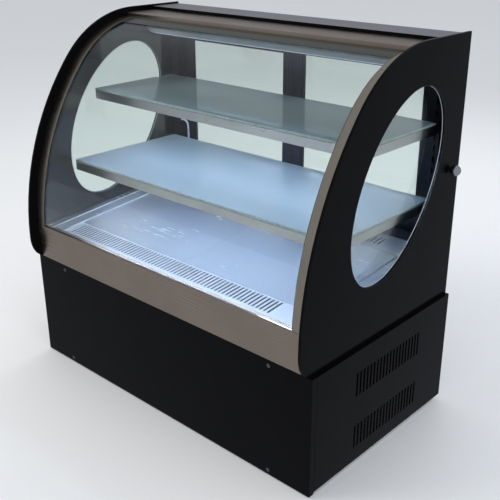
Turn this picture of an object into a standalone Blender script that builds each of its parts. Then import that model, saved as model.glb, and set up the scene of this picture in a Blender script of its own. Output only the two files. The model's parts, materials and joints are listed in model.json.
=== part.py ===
"""Countertop refrigerated display showcase with a curved front glass.

Metres, +Z up. The front faces -Y. The origin lies under the middle of the cabinet, on the
surface that its feet stand on. Sections through the cabinet are drawn in the YZ plane and
extruded along X, because nearly every panel of it is a straight run from side to side.
"""

import math

import bmesh
import bpy

# Overall sizes
WIDTH = 0.900
DEPTH = 0.5306
HEIGHT = 0.868
BASE_HEIGHT = 0.279

# Clearances and sheet
GAP = 0.0003
RUNNING_GAP = 0.0008
SHEET = 0.0015

# Side profile of the upper body
SKIN_INSET = 0.00875
SKIN_THICKNESS = 0.006
NOSE_OVERHANG = 0.0276
NOSE_RISE = 0.056
NOSE_ROUND = 0.0325
CROWN_RADIUS = 0.2763
FLAT_TOP_DEPTH = 0.159

# Oval window in each side skin, as margins to the skin's edges
WINDOW_FRONT_MARGIN = 0.1434
WINDOW_REAR_MARGIN = 0.0745
WINDOW_TOP_MARGIN = 0.0867
WINDOW_LOW_MARGIN = 0.1226
WINDOW_SLANT = math.radians(65.5)

# Front glass, its channels, bumper and top trim
CHANNEL_SINK = 0.020
CHANNEL_WIDTH = 0.032
FRONT_GLASS = 0.005
BUMPER_RISE = 0.091
BUMPER_LEAN = 0.008
BUMPER_BEND = 0.004
SILL_DEPTH = 0.0185
TRIM_SINK = 0.012
TRIM_FRONT = 0.181
TRIM_REAR = 0.0915
GLASS_TOP_END = 0.158
TOP_PANEL_SINK = 0.0046
TOP_PANEL_FOLD = 0.018

# Side panes and deck
PANE = 0.005
PANE_FROM_SKIN = 0.0182
DECK_RISE = 0.073
DECK_TILT = math.radians(5.0)
DECK_PLATE = 0.0015
DECK_EDGE = 0.078
DECK_BEARING = 0.0125
RIM_RISE = 0.002
FRONT_GRILLE_DEPTH = 0.0795
REAR_GRILLE_DEPTH = 0.0740
SLOT_WIDTH = 0.005
SLOT_PITCH = 0.0107
SLOT_LEFT_MARGIN = 0.019
SLOT_RIGHT_MARGIN = 0.067
FRONT_SLOT = (0.029, 0.0755)
REAR_SLOT = (0.020, 0.058)

# Insulated tub
TUB_FRONT = 0.0125
TUB_WALL = 0.025
TUB_FLOOR = 0.020
TUB_DEPTH = 0.064
TUB_LOWER_INSET = 0.044
TUB_LOWER_REAR = 0.012
TUB_LOWER_OVERLAP = 0.020

# Rear frame and sliding doors
FRAME_DEPTH = 0.030
FRAME_REAR_INSET = 0.003
FRAME_STILE = 0.048
FRAME_SILL_RISE = 0.022
FRAME_HEAD_DROP = 0.062
DOOR_THICKNESS = 0.008
DOOR_SPACING = 0.014
DOOR_GROOVE = 0.006
DOOR_STILE = 0.037
DOOR_MEETING_STILE = 0.063
REAR_DOOR_LAP = 0.013
DOOR_RAIL = 0.033
DOOR_GLASS = 0.004
DOOR_END_GAP = 0.002
PULL_LENGTH = 0.090
PULL_WIDTH = 0.016
PULL_DEPTH = 0.003

# Shelves
SHELF_GLASS = 0.005
SHELF_FRAME_HEIGHT = 0.021
SHELF_MEMBER = 0.012
SHELF_SIDE_GAP = 0.004
SHELF_FRONT_GAP = 0.085
SHELF_REAR = 0.058
UPPER_SHELF_DROP = 0.184
LOWER_SHELF_RISE = 0.237
UPRIGHT_WIDTH = 0.0192
UPRIGHT_DEPTH = 0.0137
UPRIGHT_GROOVE = 0.006
LAMP_DEPTH = 0.016
LAMP_HEIGHT = 0.010
LAMP_END_MARGIN = 0.006
LAMP_RISE = 0.002
TOP_LAMP_DEPTH = 0.046
TOP_LAMP_HEIGHT = 0.044
TOP_LAMP_CHAMFER = 0.012
LEAD_DIAMETER = 0.005

# Base
PANEL_RETURN = 0.015
PANEL_LIFT = 0.003
SIDE_LIFT = 0.008
FLANGE_WIDTH = 0.042
FOOT_RADIUS = 0.018
FOOT_HEIGHT = 0.014
FOOT_INSET = 0.055
FOOT_TAPER = 0.8
PAN_WALL = 0.025
REAR_PANEL_INSET = 0.008
SCREW_RADIUS = 0.0045
SCREW_INSET = 0.012
SCREW_FROM_SIDE = 0.110
SCREW_HEAD = 0.0024
SCREW_SHOULDER = 0.0018
VENT_SLOT = (0.0055, 0.056)
VENT_PITCH = 0.0121
VENT_COUNT = 20
VENT_FIRST = 0.150
VENT_LEVELS = (0.043, 0.171)

# Fans and machinery
FAN_RADIUS = 0.062
FAN_HUB = 0.018
FAN_SHAFT = 0.004
FAN_FRAME = 0.070
FAN_DEPTH = 0.030
FAN_BLADE = 0.012
FAN_BLADES = 5
FAN_TIP_GAP = 0.003
FAN_BAR = 0.006
MOTOR_DEPTH = 0.012
SHAFT_START = 0.004
BLADE_START = 0.005
EVAPORATOR_FAN_RADIUS = 0.038
EVAPORATOR_FAN_FRAME = 0.044
COMPRESSOR_RADIUS = 0.072
COMPRESSOR_HEIGHT = 0.150
COMPRESSOR_DOME = 0.040
COMPRESSOR_TAPER = 0.030
COMPRESSOR_BASE = 0.004
COMPRESSOR_FOOTPRINT = 1.05
COMPRESSOR_SOLE = 0.8
COMPRESSOR_X = -0.120
COMPRESSOR_REAR = 0.160
CONDENSER_X = 0.100
CONDENSER_FRONT = 0.070
CONDENSER_DEPTH = 0.045
EVAPORATOR_SIDE = 0.050
EVAPORATOR_REAR = 0.060
EVAPORATOR_DEPTH = 0.100
EVAPORATOR_FAN_X = -0.100
EVAPORATOR_FAN_GAP = 0.010
SPINE = 0.006
FIN = 0.004
FIN_PITCH = 0.014

# Controls on the rear panel
CONTROL_SIZE = (0.190, 0.060)
CONTROL_PLATE = 0.003
CONTROL_HEIGHT = 0.185
THERMOSTAT_SIZE = (0.077, 0.035)
THERMOSTAT_DEPTH = 0.040
BUTTON_RADIUS = 0.0035
BUTTON_PITCH = 0.012
BUTTON_TRAVEL = 0.001
ROCKER_SIZE = (0.012, 0.020)
ROCKER_TILT = math.radians(8.0)
CONTROL_LAP = 0.009
THERMOSTAT_INSET = 0.018
ROCKER_START = 0.022
ROCKER_PITCH = 0.034
BEZEL_RISE = 0.001
BUTTON_DROP = 0.009
BUTTON_SEAT = 0.003
BUTTON_CROWN = 0.0015
BUTTON_EDGE = 0.0012
POCKET_REACH = 0.010
ROCKER_CREST = 0.003
ROCKER_DIP = 0.0018
ROCKER_BACK = 0.005
GLAND_RADIUS = 0.009
GLAND_RISE = 0.035
GLAND_LENGTH = 0.012
GLAND_FLANGE = 0.004
GLAND_NUT = 0.0065
CABLE_BORE = 0.0045

# Ball knob on each side skin
KNOB_RADIUS = 0.012
KNOB_COLLAR = 0.006
KNOB_COLLAR_DEPTH = 0.0012
KNOB_REACH = 0.0125
KNOB_REAR = 0.035
KNOB_RISE = 0.3045

# Places that the sizes above give
FRONT = -DEPTH / 2
REAR = DEPTH / 2
BASE_FRONT = FRONT + NOSE_OVERHANG
NOSE_TOP = BASE_HEIGHT + NOSE_RISE
SKIN_OUTER = WIDTH / 2 - SKIN_INSET
SKIN_INNER = SKIN_OUTER - SKIN_THICKNESS
BODY_HALF = SKIN_INNER - GAP
PANE_OUTER = SKIN_INNER - PANE_FROM_SKIN
PANE_INNER = PANE_OUTER - PANE
BASE_INNER = WIDTH / 2 - SHEET
CROWN_Y = REAR - FLAT_TOP_DEPTH
CROWN_Z = HEIGHT - CROWN_RADIUS
RUN = CROWN_Y - FRONT
RISE = CROWN_Z - NOSE_TOP
FRONT_RADIUS = (RUN**2 + RISE**2 - CROWN_RADIUS**2) / (2 * (RUN - CROWN_RADIUS))
BEND_ANGLE = math.atan2(RISE, FRONT + FRONT_RADIUS - CROWN_Y)
GLASS_OUTER = CHANNEL_SINK + SHEET + GAP
GLASS_INNER = GLASS_OUTER + FRONT_GLASS
SILL_TOP = BASE_HEIGHT + BUMPER_RISE
FRAME_REAR = REAR - FRAME_REAR_INSET
FRAME_FRONT = FRAME_REAR - FRAME_DEPTH
TUB_START = BASE_FRONT + TUB_FRONT
TUB_END = FRAME_FRONT - GAP
DECK_HALF = PANE_INNER - DECK_EDGE / 2
UPRIGHT_FRONT = FRAME_FRONT - GAP - UPRIGHT_DEPTH
OPENING_HALF = BODY_HALF - FRAME_STILE
HEAD = HEIGHT - FRAME_HEAD_DROP


def deck_height(y):
    """Height of the deck plates' upper face."""
    return BASE_HEIGHT + DECK_RISE + math.tan(DECK_TILT) * (y - BASE_FRONT)


def rim_height(y):
    """Height of the tub's rim beside the deck plates."""
    return deck_height(y) + RIM_RISE


SILL = rim_height(FRAME_FRONT) + FRAME_SILL_RISE


def arc(centre, radius, start, end, steps):
    """Points along a circle's arc, both ends included."""
    angles = [start + (end - start) * i / steps for i in range(steps + 1)]
    return [(centre[0] + radius * math.cos(a), centre[1] + radius * math.sin(a)) for a in angles]


def profile_point(sink, angle):
    """Point of the front curve, sunk below the skins' edge, at an angle from straight ahead."""
    if angle < BEND_ANGLE:
        centre, radius = (FRONT + FRONT_RADIUS, NOSE_TOP), FRONT_RADIUS - sink
    else:
        centre, radius = (CROWN_Y, CROWN_Z), CROWN_RADIUS - sink
    return (centre[0] - radius * math.cos(angle), centre[1] + radius * math.sin(angle))


def angle_at(sink, coordinate, value):
    """Angle on the sunk front curve where y (coordinate 0) or z (coordinate 1) has this value."""
    low, high = 0.0, math.pi / 2
    for _ in range(60):
        middle = (low + high) / 2
        if profile_point(sink, middle)[coordinate] < value:
            low = middle
        else:
            high = middle
    return low


def front_curve(sink, start, end, steps=30):
    """The sunk front curve between two angles, with a point on the bend between its arcs."""
    angles = [start + (end - start) * i / steps for i in range(steps + 1)]
    if start < BEND_ANGLE < end:
        angles = sorted(set(angles + [BEND_ANGLE]))
    return [profile_point(sink, a) for a in angles]


def flat_top_point(sink, y):
    """Point on the flat stretch behind the crown."""
    return (y, HEIGHT - sink)


def thickened(path, thickness):
    """Closed outline of a bent sheet: the path, and the same path moved to its right."""
    moved = []
    for i, (x, y) in enumerate(path):
        before = path[max(i - 1, 0)]
        after = path[min(i + 1, len(path) - 1)]
        ends = [(before, (x, y)), ((x, y), after)]
        normals = []
        for (ax, ay), (bx, by) in ends:
            length = math.hypot(bx - ax, by - ay)
            if length > 0:
                normals.append(((by - ay) / length, -(bx - ax) / length))
        nx = sum(n[0] for n in normals)
        ny = sum(n[1] for n in normals)
        scale = thickness * len(normals) / (nx**2 + ny**2)
        moved.append((x + nx * scale, y + ny * scale))
    return path + moved[::-1]


def rectangle(x0, y0, x1, y1):
    return [(x0, y0), (x1, y0), (x1, y1), (x0, y1)]


def circle(centre, radius, steps=24):
    return arc(centre, radius, 0, math.tau * (steps - 1) / steps, steps - 1)


# Scene helpers


def clear_scene():
    for item in list(bpy.data.objects):
        bpy.data.objects.remove(item, do_unlink=True)
    for group in list(bpy.data.collections):
        bpy.data.collections.remove(group)


def new_collection(name):
    group = bpy.data.collections.new(name)
    bpy.context.scene.collection.children.link(group)
    return group


clear_scene()
PARTS = new_collection("glass_display_showcase")
CUTTERS = new_collection("cutters")


def material(name, red, green, blue, roughness, metallic=0.0, alpha=1.0):
    made = bpy.data.materials.new(name)
    made.use_nodes = True
    shader = made.node_tree.nodes["Principled BSDF"]
    shader.inputs["Base Color"].default_value = (red, green, blue, 1.0)
    shader.inputs["Roughness"].default_value = roughness
    shader.inputs["Metallic"].default_value = metallic
    shader.inputs["Alpha"].default_value = alpha
    return made


BLACK_PAINT = material("black_gloss_paint", 0.008, 0.008, 0.010, 0.22)
BLACK_FRAME = material("black_frame_coat", 0.012, 0.012, 0.018, 0.35)
STEEL = material("brushed_stainless", 0.42, 0.38, 0.34, 0.32, 1.0)
MIRROR = material("mirror_stainless", 0.72, 0.74, 0.78, 0.10, 1.0)
GLASS = material("clear_glass", 0.75, 0.85, 0.83, 0.03, 0.0, 0.25)
LINER = material("white_liner", 0.75, 0.77, 0.80, 0.40)
LAMP = material("lamp_cover", 0.90, 0.94, 1.00, 0.30)
RUBBER = material("black_rubber", 0.015, 0.015, 0.015, 0.75)
PLASTIC = material("black_plastic", 0.020, 0.020, 0.022, 0.45)
FIN_METAL = material("fin_aluminium", 0.60, 0.60, 0.60, 0.45, 1.0)
ENAMEL = material("compressor_enamel", 0.015, 0.015, 0.016, 0.30)
GREY = material("grey_plastic", 0.35, 0.36, 0.38, 0.50)
SCREW_STEEL = material("screw_steel", 0.30, 0.30, 0.31, 0.35, 1.0)
LEAD_WHITE = material("white_lead", 0.80, 0.82, 0.85, 0.45)


def adopt(item, name, finish, group=PARTS):
    """Names an object, gives it its material and moves it to its collection."""
    item.name = name
    item.data.name = name
    item.data.materials.clear()
    if finish is not None:
        item.data.materials.append(finish)
    for old in list(item.users_collection):
        old.objects.unlink(item)
    group.objects.link(item)
    return item


def block(name, low, high, finish):
    """A box between two corners, with its origin at its middle."""
    mesh = bpy.data.meshes.new(name)
    shape = bmesh.new()
    bmesh.ops.create_cube(shape, size=1.0)
    for corner in shape.verts:
        for k in range(3):
            corner.co[k] *= high[k] - low[k]
    shape.to_mesh(mesh)
    shape.free()
    item = bpy.data.objects.new(name, mesh)
    item.location = [(low[k] + high[k]) / 2 for k in range(3)]
    return adopt(item, name, finish)


def punch(name, boxes):
    """One cutter made of several boxes that don't touch."""
    mesh = bpy.data.meshes.new(name)
    shape = bmesh.new()
    for low, high in boxes:
        made = bmesh.ops.create_cube(shape, size=1.0)
        for corner in made["verts"]:
            for k in range(3):
                corner.co[k] = (low[k] + high[k]) / 2 + corner.co[k] * (high[k] - low[k])
    shape.to_mesh(mesh)
    shape.free()
    return adopt(bpy.data.objects.new(name, mesh), name, None)


def sheet_outline(name, loops, thickness, finish):
    """A flat outline, its first loop the edge and the others holes, as thick as stated."""
    data = bpy.data.curves.new(name, "CURVE")
    data.dimensions = "2D"
    data.fill_mode = "BOTH"
    data.extrude = thickness / 2
    for loop in loops:
        spline = data.splines.new("POLY")
        spline.points.add(len(loop) - 1)
        for point, (x, y) in zip(spline.points, loop):
            point.co = (x, y, 0.0, 1.0)
        spline.use_cyclic_u = True
    return adopt(bpy.data.objects.new(name, data), name, finish)


def across(name, loops, x0, x1, finish):
    """An outline in (y, z), extruded along X from x0 to x1."""
    item = sheet_outline(name, loops, x1 - x0, finish)
    item.rotation_euler = (math.pi / 2, 0.0, math.pi / 2)
    item.location = ((x0 + x1) / 2, 0.0, 0.0)
    return item


def upward(name, loops, z0, z1, finish):
    """An outline in (x, y), extruded along Z from z0 to z1."""
    item = sheet_outline(name, loops, z1 - z0, finish)
    item.location = (0.0, 0.0, (z0 + z1) / 2)
    return item


def rearward(name, loops, y0, y1, finish):
    """An outline in (x, z), extruded along Y from y0 to y1."""
    item = sheet_outline(name, loops, y1 - y0, finish)
    item.rotation_euler = (math.pi / 2, 0.0, 0.0)
    item.location = (0.0, (y0 + y1) / 2, 0.0)
    return item


def as_mesh(item):
    """The same shape as a mesh object, with its caps welded, so that it can be cut."""
    bpy.context.view_layer.update()
    graph = bpy.context.evaluated_depsgraph_get()
    mesh = bpy.data.meshes.new_from_object(item.evaluated_get(graph))
    shape = bmesh.new()
    shape.from_mesh(mesh)
    bmesh.ops.remove_doubles(shape, verts=shape.verts, dist=0.000002)
    bmesh.ops.recalc_face_normals(shape, faces=shape.faces)
    shape.to_mesh(mesh)
    shape.free()
    name, finish = item.name, item.data.materials[0]
    solid = bpy.data.objects.new(name + "_solid", mesh)
    solid.matrix_world = item.matrix_world.copy()
    bpy.data.objects.remove(item, do_unlink=True)
    return adopt(solid, name, finish)


def combine(item, other, operation):
    """Adds a Boolean to an object, and puts its other shape among the cutters."""
    if other.type != "MESH":
        other = as_mesh(other)
    adopt(other, other.name, None, CUTTERS)
    other.hide_render = True
    other.display_type = "WIRE"
    step = item.modifiers.new(operation.lower(), "BOOLEAN")
    step.operation = operation
    step.solver = "EXACT"
    step.object = other
    return item


def cut(item, tool):
    return combine(item, tool, "DIFFERENCE")


def join(item, other):
    return combine(item, other, "UNION")


def turned(name, profile, place, direction, finish, steps=24):
    """A profile of (radius, height) points, lowest first, turned about an axis at a place."""
    mesh = bpy.data.meshes.new(name)
    shape = bmesh.new()
    spots = [shape.verts.new((radius, 0.0, height)) for radius, height in reversed(profile)]
    for first, second in zip(spots, spots[1:]):
        shape.edges.new((first, second))
    if profile[0][0] > 0:
        shape.edges.new((spots[-1], spots[0]))
    shape.to_mesh(mesh)
    shape.free()
    item = bpy.data.objects.new(name, mesh)
    screw = item.modifiers.new("turn", "SCREW")
    screw.steps = steps
    screw.render_steps = steps
    screw.use_merge_vertices = True
    screw.merge_threshold = 0.00001
    item.location = place
    turns = {"+Z": (0, 0, 0), "+X": (0, math.pi / 2, 0), "-X": (0, -math.pi / 2, 0)}
    turns["+Y"] = (-math.pi / 2, 0, 0)
    turns["-Y"] = (math.pi / 2, 0, 0)
    item.rotation_euler = turns[direction]
    return adopt(item, name, finish)


def mirrored(side):
    """Sign and word of a cabinet side."""
    return (-1, "left") if side == 0 else (1, "right")


def between(side, inner, outer):
    """X range from an inner to an outer distance on one side of the cabinet."""
    return (-outer, -inner) if side < 0 else (inner, outer)


# Base


def make_base_pan():
    low = (-BASE_INNER + GAP, BASE_FRONT + SHEET + GAP, FOOT_HEIGHT)
    high = (BASE_INNER - GAP, REAR - REAR_PANEL_INSET - SHEET - GAP, FOOT_HEIGHT + PAN_WALL)
    pan = block("base_pan", low, high, SCREW_STEEL)
    hollow = block(
        "pan_hollow",
        (low[0] + SHEET, low[1] + SHEET, low[2] + SHEET),
        (high[0] - SHEET, high[1] - SHEET, high[2] + SHEET),
        None,
    )
    cut(pan, hollow)


def make_feet():
    tread = FOOT_RADIUS * FOOT_TAPER
    profile = [(0.0, 0.0), (tread, 0.0), (FOOT_RADIUS, FOOT_HEIGHT - GAP)]
    profile.append((0.0, FOOT_HEIGHT - GAP))
    for row, y in (("front", BASE_FRONT + FOOT_INSET), ("rear", REAR - FOOT_INSET)):
        for number in range(2):
            side, word = mirrored(number)
            x = side * (BASE_INNER - FOOT_INSET)
            turned(f"foot_{row}_{word}", profile, (x, y, 0.0), "+Z", RUBBER)


def make_front_panel():
    half = WIDTH / 2
    path = [
        (half, BASE_FRONT + PANEL_RETURN),
        (half, BASE_FRONT),
        (-half, BASE_FRONT),
        (-half, BASE_FRONT + PANEL_RETURN),
    ]
    outline = thickened(path, SHEET)
    panel = as_mesh(upward("front_panel", [outline], PANEL_LIFT, BASE_HEIGHT, BLACK_PAINT))
    flange = block(
        "front_flange",
        (-BASE_INNER - SHEET / 2, BASE_FRONT + SHEET / 2, BASE_HEIGHT - SHEET),
        (BASE_INNER + SHEET / 2, BASE_FRONT + PANEL_RETURN, BASE_HEIGHT),
        None,
    )
    join(panel, flange)


def make_front_screws():
    shoulder = (SCREW_RADIUS * 0.8, SCREW_SHOULDER)
    profile = [(0.0, GAP), (SCREW_RADIUS, GAP), shoulder, (0.0, SCREW_HEAD)]
    for row, height in (("low", SCREW_INSET + PANEL_LIFT), ("high", BASE_HEIGHT - SCREW_INSET)):
        for number in range(2):
            side, word = mirrored(number)
            x = side * (WIDTH / 2 - SCREW_FROM_SIDE)
            name = f"front_screw_{row}_{word}"
            turned(name, profile, (x, BASE_FRONT, height), "-Y", SCREW_STEEL, 16)


def make_base_sides():
    start = BASE_FRONT + PANEL_RETURN + GAP
    width, length = VENT_SLOT
    for number in range(2):
        side, word = mirrored(number)
        path = [
            (side * WIDTH / 2, SIDE_LIFT),
            (side * WIDTH / 2, BASE_HEIGHT),
            (side * (WIDTH / 2 - FLANGE_WIDTH), BASE_HEIGHT),
        ]
        outline = thickened(path, -side * SHEET)
        panel = as_mesh(rearward(f"base_side_{word}", [outline], start, REAR, BLACK_PAINT))
        x0, x1 = between(side, BASE_INNER - SHEET, WIDTH / 2 + SHEET)
        boxes = []
        for level in VENT_LEVELS:
            for slot in range(VENT_COUNT):
                y = BASE_FRONT + VENT_FIRST + slot * VENT_PITCH
                boxes.append(((x0, y - width / 2, level), (x1, y + width / 2, level + length)))
        cut(panel, punch(f"vents_{word}", boxes))


def control_centre():
    """Middle of the control plate, in X and Z."""
    return (-BASE_INNER + CONTROL_SIZE[0], CONTROL_HEIGHT)


def control_holes(clearance):
    """Outlines, in (x, z), of the thermostat and the two rocker switches."""
    x, z = control_centre()
    width, height = THERMOSTAT_SIZE
    left = x - CONTROL_SIZE[0] / 2 + THERMOSTAT_INSET
    holes = {"thermostat": (left + width / 2, z, width, height)}
    for number, name in enumerate(("lamp", "power")):
        place = left + width + ROCKER_START + number * ROCKER_PITCH
        holes[name] = (place, z, ROCKER_SIZE[0], ROCKER_SIZE[1])
    return {
        name: rectangle(
            cx - w / 2 - clearance, cz - h / 2 - clearance, cx + w / 2 + clearance, cz + h / 2 + clearance
        )
        for name, (cx, cz, w, h) in holes.items()
    }


def hole_centre(name):
    outline = control_holes(0.0)[name]
    return ((outline[0][0] + outline[1][0]) / 2, (outline[0][1] + outline[2][1]) / 2)


def gland_centre():
    return (-BASE_INNER + CONTROL_SIZE[0], SIDE_LIFT + PAN_WALL + GLAND_RISE)


def make_rear_panel():
    y1 = REAR - REAR_PANEL_INSET
    half = BASE_INNER - GAP
    x, z = control_centre()
    half_w, half_h = (size / 2 - CONTROL_LAP for size in CONTROL_SIZE)
    loops = [rectangle(-half, FOOT_HEIGHT, half, BASE_HEIGHT - SHEET - GAP)]
    loops.append(rectangle(x - half_w, z - half_h, x + half_w, z + half_h))
    loops.append(circle(gland_centre(), GLAND_RADIUS + GAP))
    width, length = VENT_SLOT
    level = VENT_LEVELS[0]
    for number in range(VENT_COUNT):
        left = half / 2 + (number - VENT_COUNT / 2) * VENT_PITCH
        loops.append(rectangle(left, level, left + width, level + length))
    rearward("rear_panel", loops, y1 - SHEET, y1, BLACK_FRAME)


def make_controls():
    y0 = REAR - REAR_PANEL_INSET + GAP
    y1 = y0 + CONTROL_PLATE
    x, z = control_centre()
    half_w, half_h = CONTROL_SIZE[0] / 2, CONTROL_SIZE[1] / 2
    loops = [rectangle(x - half_w, z - half_h, x + half_w, z + half_h)]
    loops.append(control_holes(GAP)["thermostat"])
    loops.append(control_holes(RUNNING_GAP)["lamp"])
    loops.append(control_holes(RUNNING_GAP)["power"])
    rearward("control_panel", loops, y0, y1, PLASTIC)

    left, low = control_holes(0.0)["thermostat"][0]
    body = block(
        "thermostat_body",
        (left, y1 - THERMOSTAT_DEPTH, low),
        (left + THERMOSTAT_SIZE[0], y1 + BEZEL_RISE, low + THERMOSTAT_SIZE[1]),
        GREY,
    )
    centre_x, centre_z = hole_centre("thermostat")
    stem = BUTTON_TRAVEL + BUTTON_SEAT
    for number, word in enumerate(("set", "up", "down")):
        place = (centre_x + (number - 1) * BUTTON_PITCH, y1 + BEZEL_RISE, centre_z - BUTTON_DROP)
        bore = BUTTON_RADIUS + GAP
        pocket = [(0.0, -stem), (bore, -stem), (bore, POCKET_REACH), (0.0, POCKET_REACH)]
        cut(body, turned(f"pocket_{word}", pocket, place, "+Y", None, 16))
        low_end = -stem + BUTTON_TRAVEL + GAP
        head = [(0.0, low_end), (BUTTON_RADIUS, low_end)]
        head += [(BUTTON_RADIUS, BUTTON_EDGE), (0.0, BUTTON_CROWN)]
        turned(f"{word}_button", head, place, "+Y", RUBBER, 16)

    half_h = ROCKER_SIZE[1] / 2
    outline = [
        (-ROCKER_BACK, -half_h * 0.55),
        (0.0, -half_h * 0.92),
        (ROCKER_CREST, -half_h * 0.96),
        (ROCKER_DIP, 0.0),
        (ROCKER_CREST, half_h * 0.96),
        (0.0, half_h * 0.92),
        (-ROCKER_BACK, half_h * 0.55),
    ]
    c, s = math.cos(ROCKER_TILT), math.sin(ROCKER_TILT)
    tilted = [(y * c - z * s, y * s + z * c) for y, z in outline]
    for name in ("lamp", "power"):
        x, z = hole_centre(name)
        half_w = ROCKER_SIZE[0] / 2
        rocker = across(f"{name}_switch", [tilted], x - half_w, x + half_w, PLASTIC)
        rocker.location = (x, (y0 + y1) / 2, z)


def make_cord_gland():
    x, z = gland_centre()
    y = REAR - REAR_PANEL_INSET
    profile = [
        (CABLE_BORE, -GLAND_LENGTH),
        (GLAND_RADIUS, -GLAND_LENGTH),
        (GLAND_RADIUS, GAP),
        (GLAND_RADIUS + GLAND_FLANGE, GAP),
        (GLAND_RADIUS + GLAND_FLANGE, GLAND_NUT / 2),
        (GLAND_RADIUS - 2 * SHEET / 3, GLAND_NUT),
        (CABLE_BORE, GLAND_NUT),
    ]
    turned("cord_gland", profile, (x, y, z), "+Y", PLASTIC)


# Machinery


def comb(start, end, low, high, spine):
    """Outline of a row of fins that stand on a spine, in the plane that it is drawn in."""
    count = int((end - start - FIN) / FIN_PITCH) + 1
    points = [(start, low)]
    last = start + (count - 1) * FIN_PITCH + FIN
    points.append((last, low))
    for number in reversed(range(count)):
        left = start + number * FIN_PITCH
        points.append((left + FIN, high))
        points.append((left, high))
        if number:
            points.append((left, low + spine))
            points.append((left - FIN_PITCH + FIN, low + spine))
    return points


def floor_height():
    return FOOT_HEIGHT + SHEET + GAP


def make_compressor():
    r, h = COMPRESSOR_RADIUS, COMPRESSOR_HEIGHT
    dome = arc((r - COMPRESSOR_DOME, h - COMPRESSOR_DOME), COMPRESSOR_DOME, 0.0, math.pi / 2, 6)
    profile = [(0.0, 0.0), (r * COMPRESSOR_SOLE, 0.0), (r, COMPRESSOR_TAPER)] + dome + [(0.0, h)]
    place = (COMPRESSOR_X, REAR - COMPRESSOR_REAR, floor_height())
    shell = turned("compressor", profile, place, "+Z", ENAMEL)
    half = r * COMPRESSOR_FOOTPRINT
    base = block(
        "compressor_base",
        (place[0] - half, place[1] - half, place[2]),
        (place[0] + half, place[1] + half, place[2] + COMPRESSOR_BASE),
        None,
    )
    join(shell, base)


def propeller(radius, hub):
    """Outline of a flat fan with rounded blades."""
    steps = FAN_BLADES * 12
    points = []
    for i in range(steps):
        a = math.tau * i / steps
        lobe = max(0.0, math.cos(FAN_BLADES * a)) ** 0.35
        reach = hub + (radius - hub) * lobe
        points.append((reach * math.cos(a), reach * math.sin(a)))
    return points


def make_fan(place, radius, frame, names, finish):
    """A square fan frame with its motor, and the blade that turns on the motor's shaft."""
    frame_name, blade_name = names
    x, y, z = place
    loops = [rectangle(-frame, -frame, frame, frame), circle((0.0, 0.0), radius + FAN_TIP_GAP, 32)]
    shroud = as_mesh(rearward(frame_name, loops, 0.0, FAN_DEPTH, finish))
    shroud.location = (x, y + FAN_DEPTH / 2, z)
    bar = block(
        frame_name + "_bar",
        (x - radius - FAN_BAR, y + FAN_DEPTH - FAN_BAR, z - FAN_BAR),
        (x + radius + FAN_BAR, y + FAN_DEPTH - FAN_BAR / 3, z + FAN_BAR),
        None,
    )
    join(shroud, bar)
    motor_end = FAN_DEPTH - 0.001
    motor = [(0.0, SHAFT_START), (FAN_SHAFT, SHAFT_START), (FAN_SHAFT, FAN_DEPTH - MOTOR_DEPTH)]
    motor += [(FAN_HUB, FAN_DEPTH - MOTOR_DEPTH), (FAN_HUB, motor_end), (0.0, motor_end)]
    join(shroud, turned(frame_name + "_motor", motor, (x, y, z), "+Y", None, 16))
    bore = circle((0.0, 0.0), FAN_SHAFT + GAP, 16)
    loops = [propeller(radius, FAN_HUB), bore]
    blade = rearward(blade_name, loops, 0.0, FAN_BLADE, PLASTIC)
    blade.location = (x, y + BLADE_START + FAN_BLADE / 2, z)


def make_machinery():
    make_compressor()
    z0 = floor_height()
    x0, x1 = CONDENSER_X, BASE_INNER - CONDENSER_X
    y0 = BASE_FRONT + CONDENSER_FRONT
    points = comb(x0, x1, y0, y0 + CONDENSER_DEPTH, SPINE)
    upward("condenser_coil", [points], z0, z0 + 2 * FAN_FRAME, FIN_METAL)
    place = ((x0 + x1) / 2, y0 + CONDENSER_DEPTH + GAP, z0 + FAN_FRAME)
    make_fan(place, FAN_RADIUS, FAN_FRAME, ("condenser_fan_shroud", "condenser_fan_blade"), SCREW_STEEL)

    floor = BASE_HEIGHT - TUB_DEPTH + TUB_FLOOR + GAP
    x1 = DECK_HALF - DECK_BEARING - EVAPORATOR_SIDE
    y1 = TUB_END - TUB_WALL - EVAPORATOR_REAR
    points = comb(-x1, x1, y1 - EVAPORATOR_DEPTH, y1, SPINE)
    upward("evaporator_coil", [points], floor, floor + 2 * EVAPORATOR_FAN_FRAME, FIN_METAL)
    fan_y = y1 - EVAPORATOR_DEPTH - EVAPORATOR_FAN_GAP - FAN_DEPTH
    place = (EVAPORATOR_FAN_X, fan_y, floor + EVAPORATOR_FAN_FRAME)
    names = ("evaporator_fan_housing", "evaporator_fan_blade")
    make_fan(place, EVAPORATOR_FAN_RADIUS, EVAPORATOR_FAN_FRAME, names, GREY)


# Tub and deck


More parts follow.
